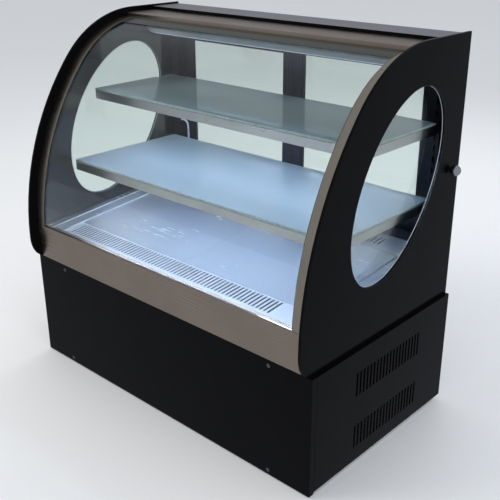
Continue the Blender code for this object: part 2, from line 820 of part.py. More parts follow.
def make_tub():
    low = BASE_HEIGHT + GAP
    outline = [(TUB_START, low), (TUB_END, low)]
    outline += [(TUB_END, rim_height(TUB_END)), (TUB_START, rim_height(TUB_START))]
    tub = as_mesh(across("insulated_tub", [outline], -BODY_HALF, BODY_HALF, LINER))
    half = BASE_INNER - TUB_LOWER_INSET
    y0, y1 = TUB_START + PANEL_RETURN, TUB_END - TUB_LOWER_REAR
    lower = block(
        "tub_lower",
        (-half, y0, BASE_HEIGHT - TUB_DEPTH),
        (half, y1, BASE_HEIGHT + TUB_LOWER_OVERLAP),
        None,
    )
    join(tub, lower)
    inner = DECK_HALF - DECK_BEARING
    hollow = block(
        "tub_hollow",
        (-inner, y0 + TUB_WALL / 2, BASE_HEIGHT - TUB_DEPTH + TUB_FLOOR),
        (inner, TUB_END - TUB_WALL, HEIGHT),
        None,
    )
    cut(tub, hollow)
    depth = DECK_PLATE + 2 * GAP + RIM_RISE
    bed = block("deck_bed", (-DECK_HALF - GAP, -DEPTH, 0.0), (DECK_HALF + GAP, DEPTH, 2 * depth), None)
    bed.rotation_euler = (DECK_TILT, 0.0, 0.0)
    middle = (TUB_START + TUB_END) / 2
    bed.location = (0.0, middle, deck_height(middle) + depth - DECK_PLATE - GAP)
    cut(tub, bed)


def lay_on_deck(item):
    """Tilts a plate drawn in (x, distance along the deck) onto the deck."""
    item.rotation_euler = (DECK_TILT, 0.0, 0.0)
    up = DECK_PLATE / 2
    item.location = (
        0.0,
        TUB_START + up * math.sin(DECK_TILT),
        deck_height(TUB_START) - up * math.cos(DECK_TILT),
    )
    return item


def slot_row(start, end):
    """Slots of a grille between two distances along the deck."""
    first = -DECK_HALF + SLOT_LEFT_MARGIN
    count = int((2 * DECK_HALF - SLOT_LEFT_MARGIN - SLOT_RIGHT_MARGIN) / SLOT_PITCH)
    lefts = [first + number * SLOT_PITCH for number in range(count + 1)]
    return [rectangle(left, start, left + SLOT_WIDTH, end) for left in lefts]


def make_deck():
    length = (TUB_END - TUB_START) / math.cos(DECK_TILT) - 2 * GAP
    rear_start = length - REAR_GRILLE_DEPTH
    front = [rectangle(-DECK_HALF, GAP, DECK_HALF, FRONT_GRILLE_DEPTH)]
    front += slot_row(*FRONT_SLOT)
    lay_on_deck(sheet_outline("front_grille", front, DECK_PLATE, MIRROR))
    rear = [rectangle(-DECK_HALF, rear_start, DECK_HALF, length)]
    rear += slot_row(rear_start + REAR_SLOT[0], rear_start + REAR_SLOT[1])
    lay_on_deck(sheet_outline("rear_grille", rear, DECK_PLATE, MIRROR))
    start, end = FRONT_GRILLE_DEPTH + GAP, rear_start - GAP
    for number in range(2):
        side, word = mirrored(number)
        x0, x1 = between(side, GAP / 2, DECK_HALF)
        plate = sheet_outline(f"deck_plate_{word}", [rectangle(x0, start, x1, end)], DECK_PLATE, MIRROR)
        lay_on_deck(plate)


# Upper body


def skin_edge():
    """Edge of a side skin: nose, front curve, flat top and rear."""
    low = BASE_HEIGHT + GAP
    centre = (FRONT + NOSE_ROUND, NOSE_TOP)
    rise = NOSE_TOP - low
    nose = [
        (centre[0] - NOSE_ROUND * math.cos(a), centre[1] - rise * math.sin(a))
        for a in [math.pi / 2 * (10 - i) / 10 for i in range(10)]
    ]
    return nose + front_curve(0.0, 0.0, math.pi / 2) + [(REAR, HEIGHT), (REAR, low)]


def window_edge(steps=56):
    """Slanting ellipse that touches the window's margins on all four sides."""
    y0, y1 = FRONT + WINDOW_FRONT_MARGIN, REAR - WINDOW_REAR_MARGIN
    z0, z1 = BASE_HEIGHT + WINDOW_LOW_MARGIN, HEIGHT - WINDOW_TOP_MARGIN
    angles = [math.tau * i / steps for i in range(steps)]
    return [
        (
            (y0 + y1) / 2 + (y1 - y0) / 2 * math.cos(a),
            (z0 + z1) / 2 + (z1 - z0) / 2 * math.cos(a - WINDOW_SLANT),
        )
        for a in angles
    ]


def make_sides():
    loops = [skin_edge(), window_edge()]
    sink = GLASS_INNER + GAP
    pane = front_curve(sink, angle_at(sink, 1, SILL_TOP + GAP), math.pi / 2)
    under_trim = REAR - TRIM_REAR - GAP
    under_panel = HEIGHT - sink - TOP_PANEL_FOLD
    pane += [(under_trim, HEIGHT - sink), (under_trim, under_panel), (TUB_END, under_panel)]
    pane += [(TUB_END, rim_height(TUB_END) + GAP)]
    pane += [(TUB_START, rim_height(TUB_START) + GAP), (TUB_START, SILL_TOP + GAP)]
    for number in range(2):
        side, word = mirrored(number)
        x0, x1 = between(side, SKIN_INNER, SKIN_OUTER)
        across(f"side_skin_{word}", loops, x0, x1, BLACK_PAINT)
        x0, x1 = between(side, PANE_INNER, PANE_OUTER)
        across(f"side_glass_{word}", [pane], x0, x1, GLASS)


def curved_band(outer, inner, low, end_y, steps=30):
    """Closed outline between two depths of the front curve, from a height to a place in y."""
    ends = [(angle_at(s, 1, low), angle_at(s, 0, end_y)) for s in (outer, inner)]
    top = front_curve(outer, ends[0][0], ends[0][1], steps)
    bottom = front_curve(inner, ends[1][0], ends[1][1], steps)
    return top + bottom[::-1]


def trim_front():
    return REAR - TRIM_FRONT


def make_front_glazing():
    low = SILL_TOP + GAP
    end_y = REAR - GLASS_TOP_END - FRONT_GLASS
    band = curved_band(GLASS_OUTER, GLASS_INNER, low, end_y)
    across("front_glass", [band], -BODY_HALF, BODY_HALF, GLASS)
    end_y = trim_front() - GAP
    band = curved_band(CHANNEL_SINK, CHANNEL_SINK + SHEET, low, end_y, 24)
    for number in range(2):
        side, word = mirrored(number)
        x0, x1 = between(side, BODY_HALF - CHANNEL_WIDTH, BODY_HALF)
        across(f"glass_channel_{word}", [band], x0, x1, STEEL)


def make_bumper():
    foot = BASE_FRONT + GAP
    top = SILL_TOP
    bend_centre = (foot - BUMPER_LEAN + BUMPER_BEND, top - BUMPER_BEND)
    path = [(foot, BASE_HEIGHT + GAP)]
    path += arc(bend_centre, BUMPER_BEND, math.pi, math.pi / 2, 5)
    path += [(foot - BUMPER_LEAN + SILL_DEPTH, top)]
    outline = thickened(path, SHEET)
    across("front_bumper", [outline], -BODY_HALF, BODY_HALF, STEEL)


def make_top():
    sink = CHANNEL_SINK + SHEET
    start, end = trim_front(), REAR - TRIM_REAR
    outer = front_curve(TRIM_SINK, angle_at(TRIM_SINK, 0, start), math.pi / 2, 10)
    inner = front_curve(sink, angle_at(sink, 0, start), math.pi / 2, 10)
    outline = outer + [flat_top_point(TRIM_SINK, end), flat_top_point(sink, end)] + inner[::-1]
    across("top_trim", [outline], -BODY_HALF, BODY_HALF, STEEL)

    front = end + GAP
    top = HEIGHT - TOP_PANEL_SINK
    path = [(front, top - TOP_PANEL_FOLD), (front, top), (REAR, top), (REAR, top - TOP_PANEL_FOLD)]
    across("top_panel", [thickened(path, SHEET)], -BODY_HALF, BODY_HALF, BLACK_PAINT)

    high = HEIGHT - sink - GAP
    half = PANE_INNER - SHELF_SIDE_GAP
    y1 = end - GAP
    low = high - TOP_LAMP_HEIGHT
    y0 = y1 - TOP_LAMP_DEPTH
    cut_off = TOP_LAMP_CHAMFER
    outline = [(y0, high), (y0, low + cut_off), (y0 + cut_off, low), (y1, low), (y1, high)]
    across("top_lamp", [outline[::-1]], -half, half, STEEL)


# Rear frame and doors


def door_plane(number):
    """Middle of a door's thickness: the left door runs in front of the right one."""
    middle = (FRAME_FRONT + FRAME_REAR) / 2
    return middle + (number - 0.5) * DOOR_SPACING


def make_rear_frame():
    half = OPENING_HALF
    top = HEIGHT - TOP_PANEL_SINK - SHEET - GAP
    loops = [rectangle(-BODY_HALF, BASE_HEIGHT + GAP, BODY_HALF, top), rectangle(-half, SILL, half, HEAD)]
    frame = as_mesh(rearward("rear_frame", loops, FRAME_FRONT, FRAME_REAR, BLACK_FRAME))
    reach = DOOR_GROOVE + GAP
    for number in range(2):
        y = door_plane(number)
        wide = DOOR_THICKNESS / 2 + RUNNING_GAP
        for word, low, high in (("low", SILL - reach, SILL + reach), ("high", HEAD - reach, HEAD + reach)):
            groove = block(f"groove_{word}_{number}", (-half, y - wide, low), (half, y + wide, high), None)
            cut(frame, groove)


def make_doors():
    low, high = SILL - DOOR_GROOVE, HEAD + DOOR_GROOVE
    meeting = DOOR_MEETING_STILE / 2
    outer = OPENING_HALF - DOOR_END_GAP
    for number in range(2):
        side, word = mirrored(number)
        y = door_plane(number)
        x0, x1 = (-outer, meeting) if side < 0 else (-meeting - REAR_DOOR_LAP, outer)
        left_stile, right_stile = DOOR_STILE, DOOR_MEETING_STILE
        if side > 0:
            left_stile, right_stile = right_stile, left_stile
        hole = rectangle(x0 + left_stile, low + DOOR_RAIL, x1 - right_stile, high - DOOR_RAIL)
        loops = [rectangle(x0, low, x1, high), hole]
        y0, y1 = y - DOOR_THICKNESS / 2, y + DOOR_THICKNESS / 2
        frame = as_mesh(rearward(f"door_frame_{word}", loops, y0, y1, BLACK_FRAME))
        x = side * (outer - DOOR_STILE / 2)
        z = (low + high) / 2
        pull = block(
            f"pull_{word}",
            (x - PULL_WIDTH / 2, y1 - PULL_DEPTH, z - PULL_LENGTH / 2),
            (x + PULL_WIDTH / 2, y1 + PULL_DEPTH, z + PULL_LENGTH / 2),
            None,
        )
        cut(frame, pull)
        (gx0, gz0), (gx1, gz1) = hole[0], hole[2]
        block(
            f"door_glass_{word}",
            (gx0 + GAP, y - DOOR_GLASS / 2, gz0 + GAP),
            (gx1 - GAP, y + DOOR_GLASS / 2, gz1 - GAP),
            GLASS,
        )


# Shelves


def shelf_half():
    return PANE_INNER - SHELF_SIDE_GAP


def make_uprights():
    middle = shelf_half() - SHELF_MEMBER / 2
    for number in range(2):
        side, word = mirrored(number)
        x = side * middle
        half = UPRIGHT_WIDTH / 2
        slot = UPRIGHT_GROOVE / 2
        y0, y1 = UPRIGHT_FRONT, FRAME_FRONT - GAP
        points = [
            (x - half, y0),
            (x - slot, y0),
            (x - slot, y0 + UPRIGHT_GROOVE),
            (x + slot, y0 + UPRIGHT_GROOVE),
            (x + slot, y0),
            (x + half, y0),
            (x + half, y1),
            (x - half, y1),
        ]
        upward(f"shelf_upright_{word}", [points], rim_height(y1) + GAP, HEAD, BLACK_FRAME)


def shelf_front(z):
    """Front edge of a shelf whose glass top lies at this height."""
    return profile_point(GLASS_INNER, angle_at(GLASS_INNER, 1, z))[0] + SHELF_FRONT_GAP


def make_shelf(word, top):
    half = shelf_half()
    front = shelf_front(top)
    rear = REAR - SHELF_REAR
    frame_top = top - SHELF_GLASS - GAP
    inner = half - SHELF_MEMBER
    arm = UPRIGHT_FRONT - GAP
    middle = half - SHELF_MEMBER / 2
    tab = UPRIGHT_GROOVE / 2 - GAP
    tip = arm + UPRIGHT_GROOVE
    edge = [
        (-half, front),
        (half, front),
        (half, arm),
        (middle + tab, arm),
        (middle + tab, tip),
        (middle - tab, tip),
        (middle - tab, arm),
        (inner, arm),
        (inner, rear),
        (-inner, rear),
        (-inner, arm),
        (-middle + tab, arm),
        (-middle + tab, tip),
        (-middle - tab, tip),
        (-middle - tab, arm),
        (-half, arm),
    ]
    hole = rectangle(-inner, front + SHELF_MEMBER, inner, rear - SHELF_MEMBER)
    low = frame_top - SHELF_FRAME_HEIGHT
    upward(f"shelf_frame_{word}", [edge, hole], low, frame_top, STEEL)
    block(f"shelf_glass_{word}", (-half, front, top - SHELF_GLASS), (half, rear, top), GLASS)
    lamp_half = inner - LAMP_END_MARGIN
    y0 = front + SHELF_MEMBER + GAP
    block(
        f"shelf_lamp_{word}",
        (-lamp_half, y0, low + LAMP_RISE),
        (lamp_half, y0 + LAMP_DEPTH, low + LAMP_RISE + LAMP_HEIGHT),
        LAMP,
    )


def lower_shelf_top():
    return BASE_HEIGHT + LOWER_SHELF_RISE


def smooth_path(points, steps):
    """Catmull-Rom curve through the points."""
    full = [points[0]] + points + [points[-1]]
    path = []
    for i in range(1, len(full) - 2):
        for j in range(steps):
            t = j / steps
            a, b, c, d = full[i - 1], full[i], full[i + 1], full[i + 2]
            spot = []
            for k in range(3):
                flat = 2 * b[k] + (c[k] - a[k]) * t
                bend = (2 * a[k] - 5 * b[k] + 4 * c[k] - d[k]) * t**2
                twist = (3 * b[k] - a[k] - 3 * c[k] + d[k]) * t**3
                spot.append((flat + bend + twist) / 2)
            path.append(tuple(spot))
    return path + [points[-1]]


def make_lamp_lead():
    """White lead from the left upright to the lower shelf's lamp, one fixed piece of wire."""
    half = shelf_half()
    socket = -(half - SHELF_MEMBER / 2 - UPRIGHT_WIDTH / 2) + 2 * GAP
    top = lower_shelf_top()
    low = top - SHELF_GLASS - GAP - SHELF_FRAME_HEIGHT
    rear = UPRIGHT_FRONT + UPRIGHT_DEPTH / 2
    lamp_y = shelf_front(top) + SHELF_MEMBER + LAMP_DEPTH + 2 * GAP
    lamp_x = -(half - SHELF_MEMBER - LAMP_END_MARGIN) + 0.03
    lamp_z = low + LAMP_RISE + LAMP_HEIGHT / 2
    points = [
        (socket, rear - 0.002, top + 0.042),
        (socket + 0.012, rear - 0.002, top + 0.042),
        (socket + 0.024, rear - 0.002, top + 0.034),
        (socket + 0.027, rear - 0.002, top + 0.006),
        (socket + 0.024, rear - 0.003, top - 0.030),
        (socket + 0.020, rear - 0.016, top - 0.050),
        (socket + 0.022, rear - 0.050, top - 0.054),
        (socket + 0.034, rear - 0.100, top - 0.050),
        (socket + 0.046, rear - 0.160, top - 0.052),
        (socket + 0.050, rear - 0.220, top - 0.053),
        (lamp_x + 0.004, lamp_y + 0.050, low - 0.010),
        (lamp_x, lamp_y + 0.022, lamp_z - 0.002),
        (lamp_x, lamp_y + 0.0005, lamp_z),
    ]
    path = smooth_path(points, 5)
    data = bpy.data.curves.new("lamp_lead", "CURVE")
    data.dimensions = "3D"
    data.bevel_depth = LEAD_DIAMETER / 2
    data.bevel_resolution = 2
    data.use_fill_caps = True
    spline = data.splines.new("POLY")
    spline.points.add(len(path) - 1)
    for point, spot in zip(spline.points, path):
        point.co = (*spot, 1.0)
    adopt(bpy.data.objects.new("lamp_lead", data), "lamp_lead", LEAD_WHITE)


def make_side_knobs():
    start = -math.acos(KNOB_COLLAR / KNOB_RADIUS)
    ball = arc((0.0, KNOB_REACH), KNOB_RADIUS, start, math.pi / 2, 10)
    profile = [(0.0, GAP), (KNOB_COLLAR, GAP), (KNOB_COLLAR, KNOB_COLLAR_DEPTH)]
    profile += ball[:-1] + [(0.0, KNOB_REACH + KNOB_RADIUS)]
    for number in range(2):
        side, word = mirrored(number)
        place = (side * SKIN_OUTER, REAR - KNOB_REAR, BASE_HEIGHT + KNOB_RISE)
        turned(f"side_knob_{word}", profile, place, "+X" if side > 0 else "-X", MIRROR)


def build():
    make_base_pan()
    make_feet()
    make_front_panel()
    make_front_screws()
    make_base_sides()
    make_rear_panel()
    make_controls()
    make_cord_gland()
    make_machinery()
    make_tub()
    make_deck()
    make_sides()
    make_front_glazing()
    make_bumper()
    make_top()
    make_rear_frame()
    make_doors()
    make_uprights()
    make_shelf("upper", HEIGHT - UPPER_SHELF_DROP)
    make_shelf("lower", lower_shelf_top())
    make_lamp_lead()
    make_side_knobs()


build()
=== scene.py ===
import json
import math

import bpy
from mathutils import Matrix, Vector


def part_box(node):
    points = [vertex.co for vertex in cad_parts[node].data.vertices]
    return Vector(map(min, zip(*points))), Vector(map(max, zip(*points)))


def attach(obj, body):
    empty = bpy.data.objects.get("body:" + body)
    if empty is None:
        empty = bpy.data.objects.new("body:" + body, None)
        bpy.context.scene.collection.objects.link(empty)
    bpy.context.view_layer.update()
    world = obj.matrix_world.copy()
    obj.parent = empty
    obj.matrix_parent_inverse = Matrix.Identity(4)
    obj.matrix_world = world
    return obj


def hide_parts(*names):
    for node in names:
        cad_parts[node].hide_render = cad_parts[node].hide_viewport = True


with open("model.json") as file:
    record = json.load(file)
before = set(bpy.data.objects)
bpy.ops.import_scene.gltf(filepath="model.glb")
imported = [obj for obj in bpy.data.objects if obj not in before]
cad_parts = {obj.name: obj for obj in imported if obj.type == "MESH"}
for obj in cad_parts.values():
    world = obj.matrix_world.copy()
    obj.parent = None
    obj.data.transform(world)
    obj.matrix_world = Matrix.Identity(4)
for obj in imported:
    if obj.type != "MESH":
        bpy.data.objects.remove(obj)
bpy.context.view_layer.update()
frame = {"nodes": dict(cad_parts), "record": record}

MM = 0.001
NODES = frame["nodes"]
BODY_OF = {name: body for body, names in frame["record"]["behaviour"]["bodies"].items() for name in names}
SLOT_OF = {part["node"]: part["material_slot"] for part in frame["record"]["subparts"]}

# Lengths below are in metres, angles in radians

# Cleaning of meshes
CAP_MERGE = 0.00001
CLEAN_MERGE = 0.000005
CLEAN_ANGLE = math.radians(0.3)
SMOOTH_ANGLE = math.radians(35.0)

# Front glass
SEAL = 0.0015
SEAL_HEIGHT = 0.0006
SEAL_THICKNESS = 0.0010
FRIT_HEIGHT = 0.0009
FRIT_WIDTH = 0.048

# Oval windows in the side skins
OVAL_BEAD = 0.0007
OVAL_BEAD_SINK = 0.2 * OVAL_BEAD
WINDOW_MARGINS_Y = (0.1434, 0.0745)
WINDOW_MARGINS_Z = (0.1223, 0.0867)
WINDOW_SLANT = math.radians(65.5)

# Front screws and feet
SCREW_HEAD_SHARE = 0.82
SCREW_HEAD_DEPTH = 0.0024
SCREW_HEAD_PLACE = 0.0014
RECESS_LONG = 0.0052
RECESS_NARROW = 0.0012
RECESS_DEPTH = 0.0011
WASHER_DEPTH = 0.0008
FOOT_CORE_SHARE = 0.86
FOOT_RING_SHARES = (0.35, 0.62, 0.88)
FOOT_RING_DEPTH = 0.0022

# Sliding doors
GASKET = 0.0022
GASKET_SINK = 0.35 * GASKET
STILE_HALF = 0.0315
RIB_STEPS = (-0.020, -0.011, 0.011, 0.020)
RIB_HALF = 0.0016
RIB_PROUD = 0.0011
RIB_SINK = 0.0004
RIB_END = 0.012
BRUSH_WIDTH = 0.010
BRUSH_DEPTH = 0.0022
BRUSH_CLEAR = 0.0002
BRUSH_END = 0.010

# Shelf uprights
SLOT_START = 0.012
SLOT_STEP = 0.025
SLOT_HEIGHT = 0.013
SLOT_CLEAR = 0.001
SLOT_BAR_HALF = 0.0029
SLOT_BAR_DEPTHS = (0.0001, 0.0014)

# Lamps
LAMP_CAP = 0.002
LAMP_CAP_CLEAR = 0.0002
LAMP_CAP_PROUD = 0.0001
LAMP_CAP_DROP = 0.0006
ROOF_STRIP_MARGINS = (0.015, 0.004)
ROOF_STRIP_END = 0.012
ROOF_STRIP_CLEAR = 0.0003
ROOF_STRIP_DROP = 0.0014
ROOF_CAP = 0.008
ROOF_CAP_END = 0.003
ROOF_CAP_LAP = 0.001
ROOF_CAP_DROP = 0.0020

# Deck
DECK_SLOPE = math.tan(math.radians(5.0))
DECK_BEAD_RISE = 0.0022
DECK_BEAD_END = 0.002
PANE_BEAD = 0.0018
PANE_BEAD_INSET = 0.0011
PLATE_BEAD = 0.0012
RIM_BAND = 0.004

# Machinery
FIN_TUBE = 0.0035
FIN_TUBE_ROWS = 4
RETURN_BEND = 0.010
COMPRESSOR_FOOTPRINT = 1.05
SEAM_HEIGHT = 0.075
SEAM_RADIUS = 0.0025
PIPE_RADIUS = 0.0032
PIPE_START_SHARE = 0.9
PIPE_START = (-0.02, 0.09)
PIPE_ROUTE = [
    (0.02, -0.03, 0.095),
    (0.04, -0.03, 0.12),
    (0.08, -0.05, 0.14),
    (0.11, -0.12, 0.13),
    (0.14, -0.19, 0.11),
]
FILTER_DEPTH = 0.0030
FILTER_CLEAR = 0.0004
FILTER_HALF = 0.130
FILTER_HEIGHTS = (0.0405, 0.104)
FILTER_ROD = 0.0010

# The lamp lead's route from the upright to the lower shelf's lamp
LEAD_ROUTE = [
    (-0.39185, 0.22315, 0.558),
    (-0.37985, 0.22315, 0.558),
    (-0.36785, 0.22315, 0.550),
    (-0.36485, 0.22315, 0.522),
    (-0.36785, 0.22215, 0.486),
    (-0.37185, 0.20915, 0.466),
    (-0.36985, 0.17515, 0.462),
    (-0.35785, 0.12515, 0.466),
    (-0.34585, 0.06515, 0.464),
    (-0.34185, 0.00515, 0.463),
    (-0.35605, -0.04889, 0.4797),
    (-0.36005, -0.07689, 0.4947),
    (-0.36005, -0.09839, 0.4967),
]
LEAD_DIAMETER = 0.005

# Studio
LENS = 57.66
CAMERA_PLACE = (1.24178, -1.26489, 1.09489)
CAMERA_YAW = math.radians(42.789)
CAMERA_PITCH = math.radians(22.994)
CAMERA_ROLL = math.radians(-0.224)


# Materials


def linear(code):
    """An sRGB hex colour as linear RGBA."""
    values = [int(code[i : i + 2], 16) / 255 for i in (1, 3, 5)]
    return [v / 12.92 if v <= 0.04045 else ((v + 0.055) / 1.055) ** 2.4 for v in values] + [1.0]


def add(tree, kind, settings=(), links=()):
    """A node with its settings, and links from other nodes' outputs into its sockets."""
    made = tree.nodes.new(kind)
    for key, value in dict(settings).items():
        if isinstance(key, str) and key not in made.inputs:
            setattr(made, key, value)
        else:
            made.inputs[key].default_value = value
    for key, source in dict(links).items():
        tree.links.new(source, made.inputs[key])
    return made


def surface(name, colour, shade, roughness, spread, grain, depth, mottle, metallic=0.0, **sockets):
    """A finish with a fine pattern and a slow drift of tone.

    grain is the pattern's size in mm along X, Y and Z, depth its relief in mm, spread how far
    it moves the roughness, and mottle the size in mm of the drift from colour to shade.
    """
    material = bpy.data.materials.new(name)
    material.use_nodes = True
    tree = material.node_tree
    shader = tree.nodes["Principled BSDF"]
    place = add(tree, "ShaderNodeTexCoord").outputs["Object"]
    scale = [1000 / size for size in grain]
    fitted = add(tree, "ShaderNodeMapping", {"Scale": scale}, {"Vector": place}).outputs["Vector"]
    fine = add(tree, "ShaderNodeTexNoise", {"Scale": 1.0, "Detail": 4.0}, {"Vector": fitted})
    slow = add(tree, "ShaderNodeTexNoise", {"Scale": 1000 / mottle, "Detail": 3.0}, {"Vector": place})
    tones = {"data_type": "RGBA", 6: linear(colour), 7: linear(shade)}
    tone = add(tree, "ShaderNodeMix", tones, {0: slow.outputs[0]})
    both = add(tree, "ShaderNodeMath", {"operation": "ADD"}, {0: fine.outputs[0], 1: slow.outputs[0]})
    limits = {"From Min": 0.6, "From Max": 1.4, "To Min": roughness - spread, "To Max": roughness + spread}
    rough = add(tree, "ShaderNodeMapRange", limits, {"Value": both.outputs[0]})
    relief = {"Strength": 1.0, "Distance": depth * MM}
    bump = add(tree, "ShaderNodeBump", relief, {"Height": fine.outputs[0]})
    tree.links.new(tone.outputs[2], shader.inputs["Base Color"])
    tree.links.new(rough.outputs["Result"], shader.inputs["Roughness"])
    tree.links.new(bump.outputs["Normal"], shader.inputs["Normal"])
    shader.inputs["Metallic"].default_value = metallic
    for socket, value in sockets.items():
        shader.inputs[socket.replace("_", " ")].default_value = value
    return material


def glass(name, colour, roughness, spread, ior=1.52):
    """Clear solid glass: refracts what is behind it, and lets lamps through as if it were air."""
    material = surface(name, colour, colour, roughness, spread, (40, 40, 40), 0.002, 300, IOR=ior)
    tree = material.node_tree
    shader = tree.nodes["Principled BSDF"]
    shader.inputs["Transmission Weight"].default_value = 1.0
    rays = add(tree, "ShaderNodeLightPath")
    clear = add(tree, "ShaderNodeBsdfTransparent", {"Color": linear(colour)})
    sides = {0: rays.outputs["Is Shadow Ray"], 1: shader.outputs[0], 2: clear.outputs[0]}
    mixed = add(tree, "ShaderNodeMixShader", {}, sides)
    tree.links.new(mixed.outputs[0], tree.nodes["Material Output"].inputs["Surface"])
    return material


def black_powder_coat():
    """Gloss polyester powder on sheet steel: deep black, with the slight orange peel that flow leaves."""
    return surface(
        "powder_coat_gloss_black", "#060607", "#0A0A0D", 0.16, 0.06, (5, 5, 5), 0.008, 60,
        Specular_IOR_Level=0.10,
    )


def roof_powder_painted_light():
    """The same black powder on the roof panel, painted grey as light falling on its upper faces, with a
    painted soft sheen.
    """
    return surface("powder_coat_roof_painted_light", "#5A5A60", "#6A6A70", 0.30, 0.10, (6, 6, 6), 0.012, 90)


def satin_black_aluminium():
    """Extruded aluminium under a satin black coat: faint die lines along the bar."""
    return surface(
        "coated_aluminium_satin_black", "#0C0D16", "#141724", 0.30, 0.07, (60, 60, 1.6), 0.006, 80,
        Specular_IOR_Level=0.22,
    )


def ribs_painted_sheen():
    """The ribs of the same extrusion, painted a lighter navy-grey as a sheen of light along them."""
    return surface(
        "coated_aluminium_painted_sheen", "#2A3050", "#3B4366", 0.22, 0.08, (60, 60, 1.6), 0.004, 50, 0.4
    )


def brushed_stainless():
    """304 sheet, belt-brushed from side to side: long hairlines along X, drawn 1.2 mm wide to show."""
    return surface(
        "brushed_stainless_304", "#CDBDAC", "#B7A796", 0.30, 0.10, (140, 1.2, 1.2), 0.004, 160, 1.0
    )


def channel_stainless():
    """The same sheet rolled into the glass channels, its hairlines running up the curve."""
    return surface(
        "brushed_stainless_channel", "#D3C8B6", "#B9AE9D", 0.30, 0.08, (1.2, 90, 90), 0.004, 120, 1.0
    )


def deck_steel_painted_reflection():
    """Polished 304 deck sheet, painted near-white and bluish as the reflection of the shelf lamps, with wipe
    marks that only change its gloss.
    """
    return surface("polished_stainless_painted_reflection", "#F0F3F9", "#E4EAF4", 0.24, 0.05, (60, 4, 4), 0.001, 120, 0.65)


def satin_grille():
    """Punched 304 grille, satin-ground, painted pale blue-white as the reflection of the lamps."""
    return surface(
        "satin_stainless_painted_reflection", "#F4F7FC", "#E8EDF6", 0.40, 0.08, (60, 2, 2), 0.004, 120, 0.55
    )


def polished_knob():
    """Chrome-plated brass ball, buffed smooth."""
    return surface("chrome_plate", "#DADCE0", "#C8CBD0", 0.06, 0.03, (4, 4, 4), 0.001, 15, 1.0)


def float_glass():
    """Toughened float glass: clear with a slight green of iron, flat to a few microns."""
    return glass("float_glass", "#F1F8F5", 0.015, 0.008, 1.45)


def shelf_glass():
    """Toughened shelf glass with a white acid-etched underside: milky body under a glossy face."""
    return surface(
        "etched_shelf_glass", "#D3E2E8", "#C4D6DF", 0.42, 0.08, (24, 3, 3), 0.003, 140,
        Transmission_Weight=0.30, Coat_Weight=1.0, Coat_Roughness=0.03, IOR=1.5,
    )


def anodised_housing():
    """Clear-anodised lamp extrusion: pale, even and slightly matt, with die lines along X."""
    return surface(
        "anodised_aluminium_clear", "#DCE1E6", "#CDD3DA", 0.38, 0.08, (90, 1.4, 1.4), 0.004, 120, 0.1
    )


def shelf_aluminium():
    """Brushed aluminium shelf edge, hairlines along X."""
    return surface(
        "brushed_aluminium_shelf", "#CBC8CA", "#B5B2B6", 0.33, 0.10, (90, 1.2, 1.2), 0.005, 90, 1.0
    )


def glass_edge_painted_glow():
    """Arrised and polished pane edge, painted pale green as a glow of the light that gathers in it."""
    return surface(
        "glass_edge_painted_glow", "#E4F2F1", "#D2E7E4", 0.28, 0.08, (3, 3, 3), 0.01, 50, Transmission_Weight=0.2
    )


def white_coated_steel():
    """White polyester-coated steel over foam: eggshell, wiped daily."""
    return surface("white_coated_steel", "#E4E6E8", "#D6D9DD", 0.36, 0.08, (4, 4, 4), 0.012, 110)


def opal_acrylic(name, strength):
    """Extruded opal acrylic over a row of LEDs: bluish white light."""
    material = surface(name, "#F4F8FF", "#E8F0FF", 0.35, 0.05, (30, 2, 2), 0.004, 60)
    shader = material.node_tree.nodes["Principled BSDF"]
    shader.inputs["Emission Color"].default_value = linear("#CEDBFF")
    shader.inputs["Emission Strength"].default_value = strength
    return material


def epdm_rubber():
    """Moulded EPDM: matt black with a talc bloom."""
    return surface("epdm_rubber", "#141414", "#202020", 0.78, 0.08, (1.5, 1.5, 1.5), 0.03, 25)


def tub_liner_painted_shade():
    """Inside of the tub below the grilles: a dark sheet that is painted shade, so that the slots read dark.
    """
    return surface("tub_hollow_painted_shade", "#0C0D0F", "#15171A", 0.45, 0.12, (3, 3, 3), 0.04, 60)


def silicone_bead():
    """Neutral silicone, tooled with a wet finger: milky and soft-edged."""
    return surface(
        "silicone_sealant_clear", "#E3E9EC", "#D2DADF", 0.34, 0.08, (4, 4, 4), 0.02, 30,
        Transmission_Weight=0.25,
    )


def black_silicone():
    """Black glazing silicone between channel and glass."""
    return surface("silicone_sealant_black", "#0B0C0D", "#141617", 0.42, 0.08, (5, 5, 5), 0.02, 40)


def ceramic_frit():
    """Fired enamel band along the glass's upper edge, a dark greenish grey."""
    return surface("ceramic_frit_band", "#2A2C26", "#34372F", 0.20, 0.05, (3, 3, 3), 0.004, 50)


def moulded_abs():
    """Moulded ABS with a fine spark-eroded grain."""
    return surface("abs_black_grained", "#18181A", "#222225", 0.50, 0.08, (1.4, 1.4, 1.4), 0.04, 30)


def grey_abs():
    """Grey moulded ABS housing, the same grain."""
    return surface("abs_grey_grained", "#6C6E72", "#7C7E83", 0.52, 0.08, (1.4, 1.4, 1.4), 0.04, 40)


def smoked_acrylic():
    """Smoked display window: almost black and glossy."""
    return surface("acrylic_smoked", "#0B0708", "#120B0C", 0.08, 0.03, (8, 8, 8), 0.002, 20, Coat_Weight=0.6)


def lit_segment():
    """LED digit segment, red."""
    material = surface("led_segment_red", "#FF3B22", "#E62A14", 0.40, 0.05, (2, 2, 2), 0.002, 6)
    shader = material.node_tree.nodes["Principled BSDF"]
    shader.inputs["Emission Color"].default_value = linear("#FF2A12")
    shader.inputs["Emission Strength"].default_value = 4.0
    return material


def mill_aluminium():
    """Mill-finish fin stock: rolled streaks up the fin and a dull skin of oxide."""
    return surface("aluminium_fin_stock", "#8F9194", "#74767A", 0.48, 0.10, (2, 2, 45), 0.01, 70, 1.0)


def filter_mat():
    """Needled polyester dust filter: charcoal, matt and fibrous."""
    return surface("polyester_filter_mat", "#101112", "#1B1C1E", 0.85, 0.06, (0.8, 0.8, 0.8), 0.15, 18)


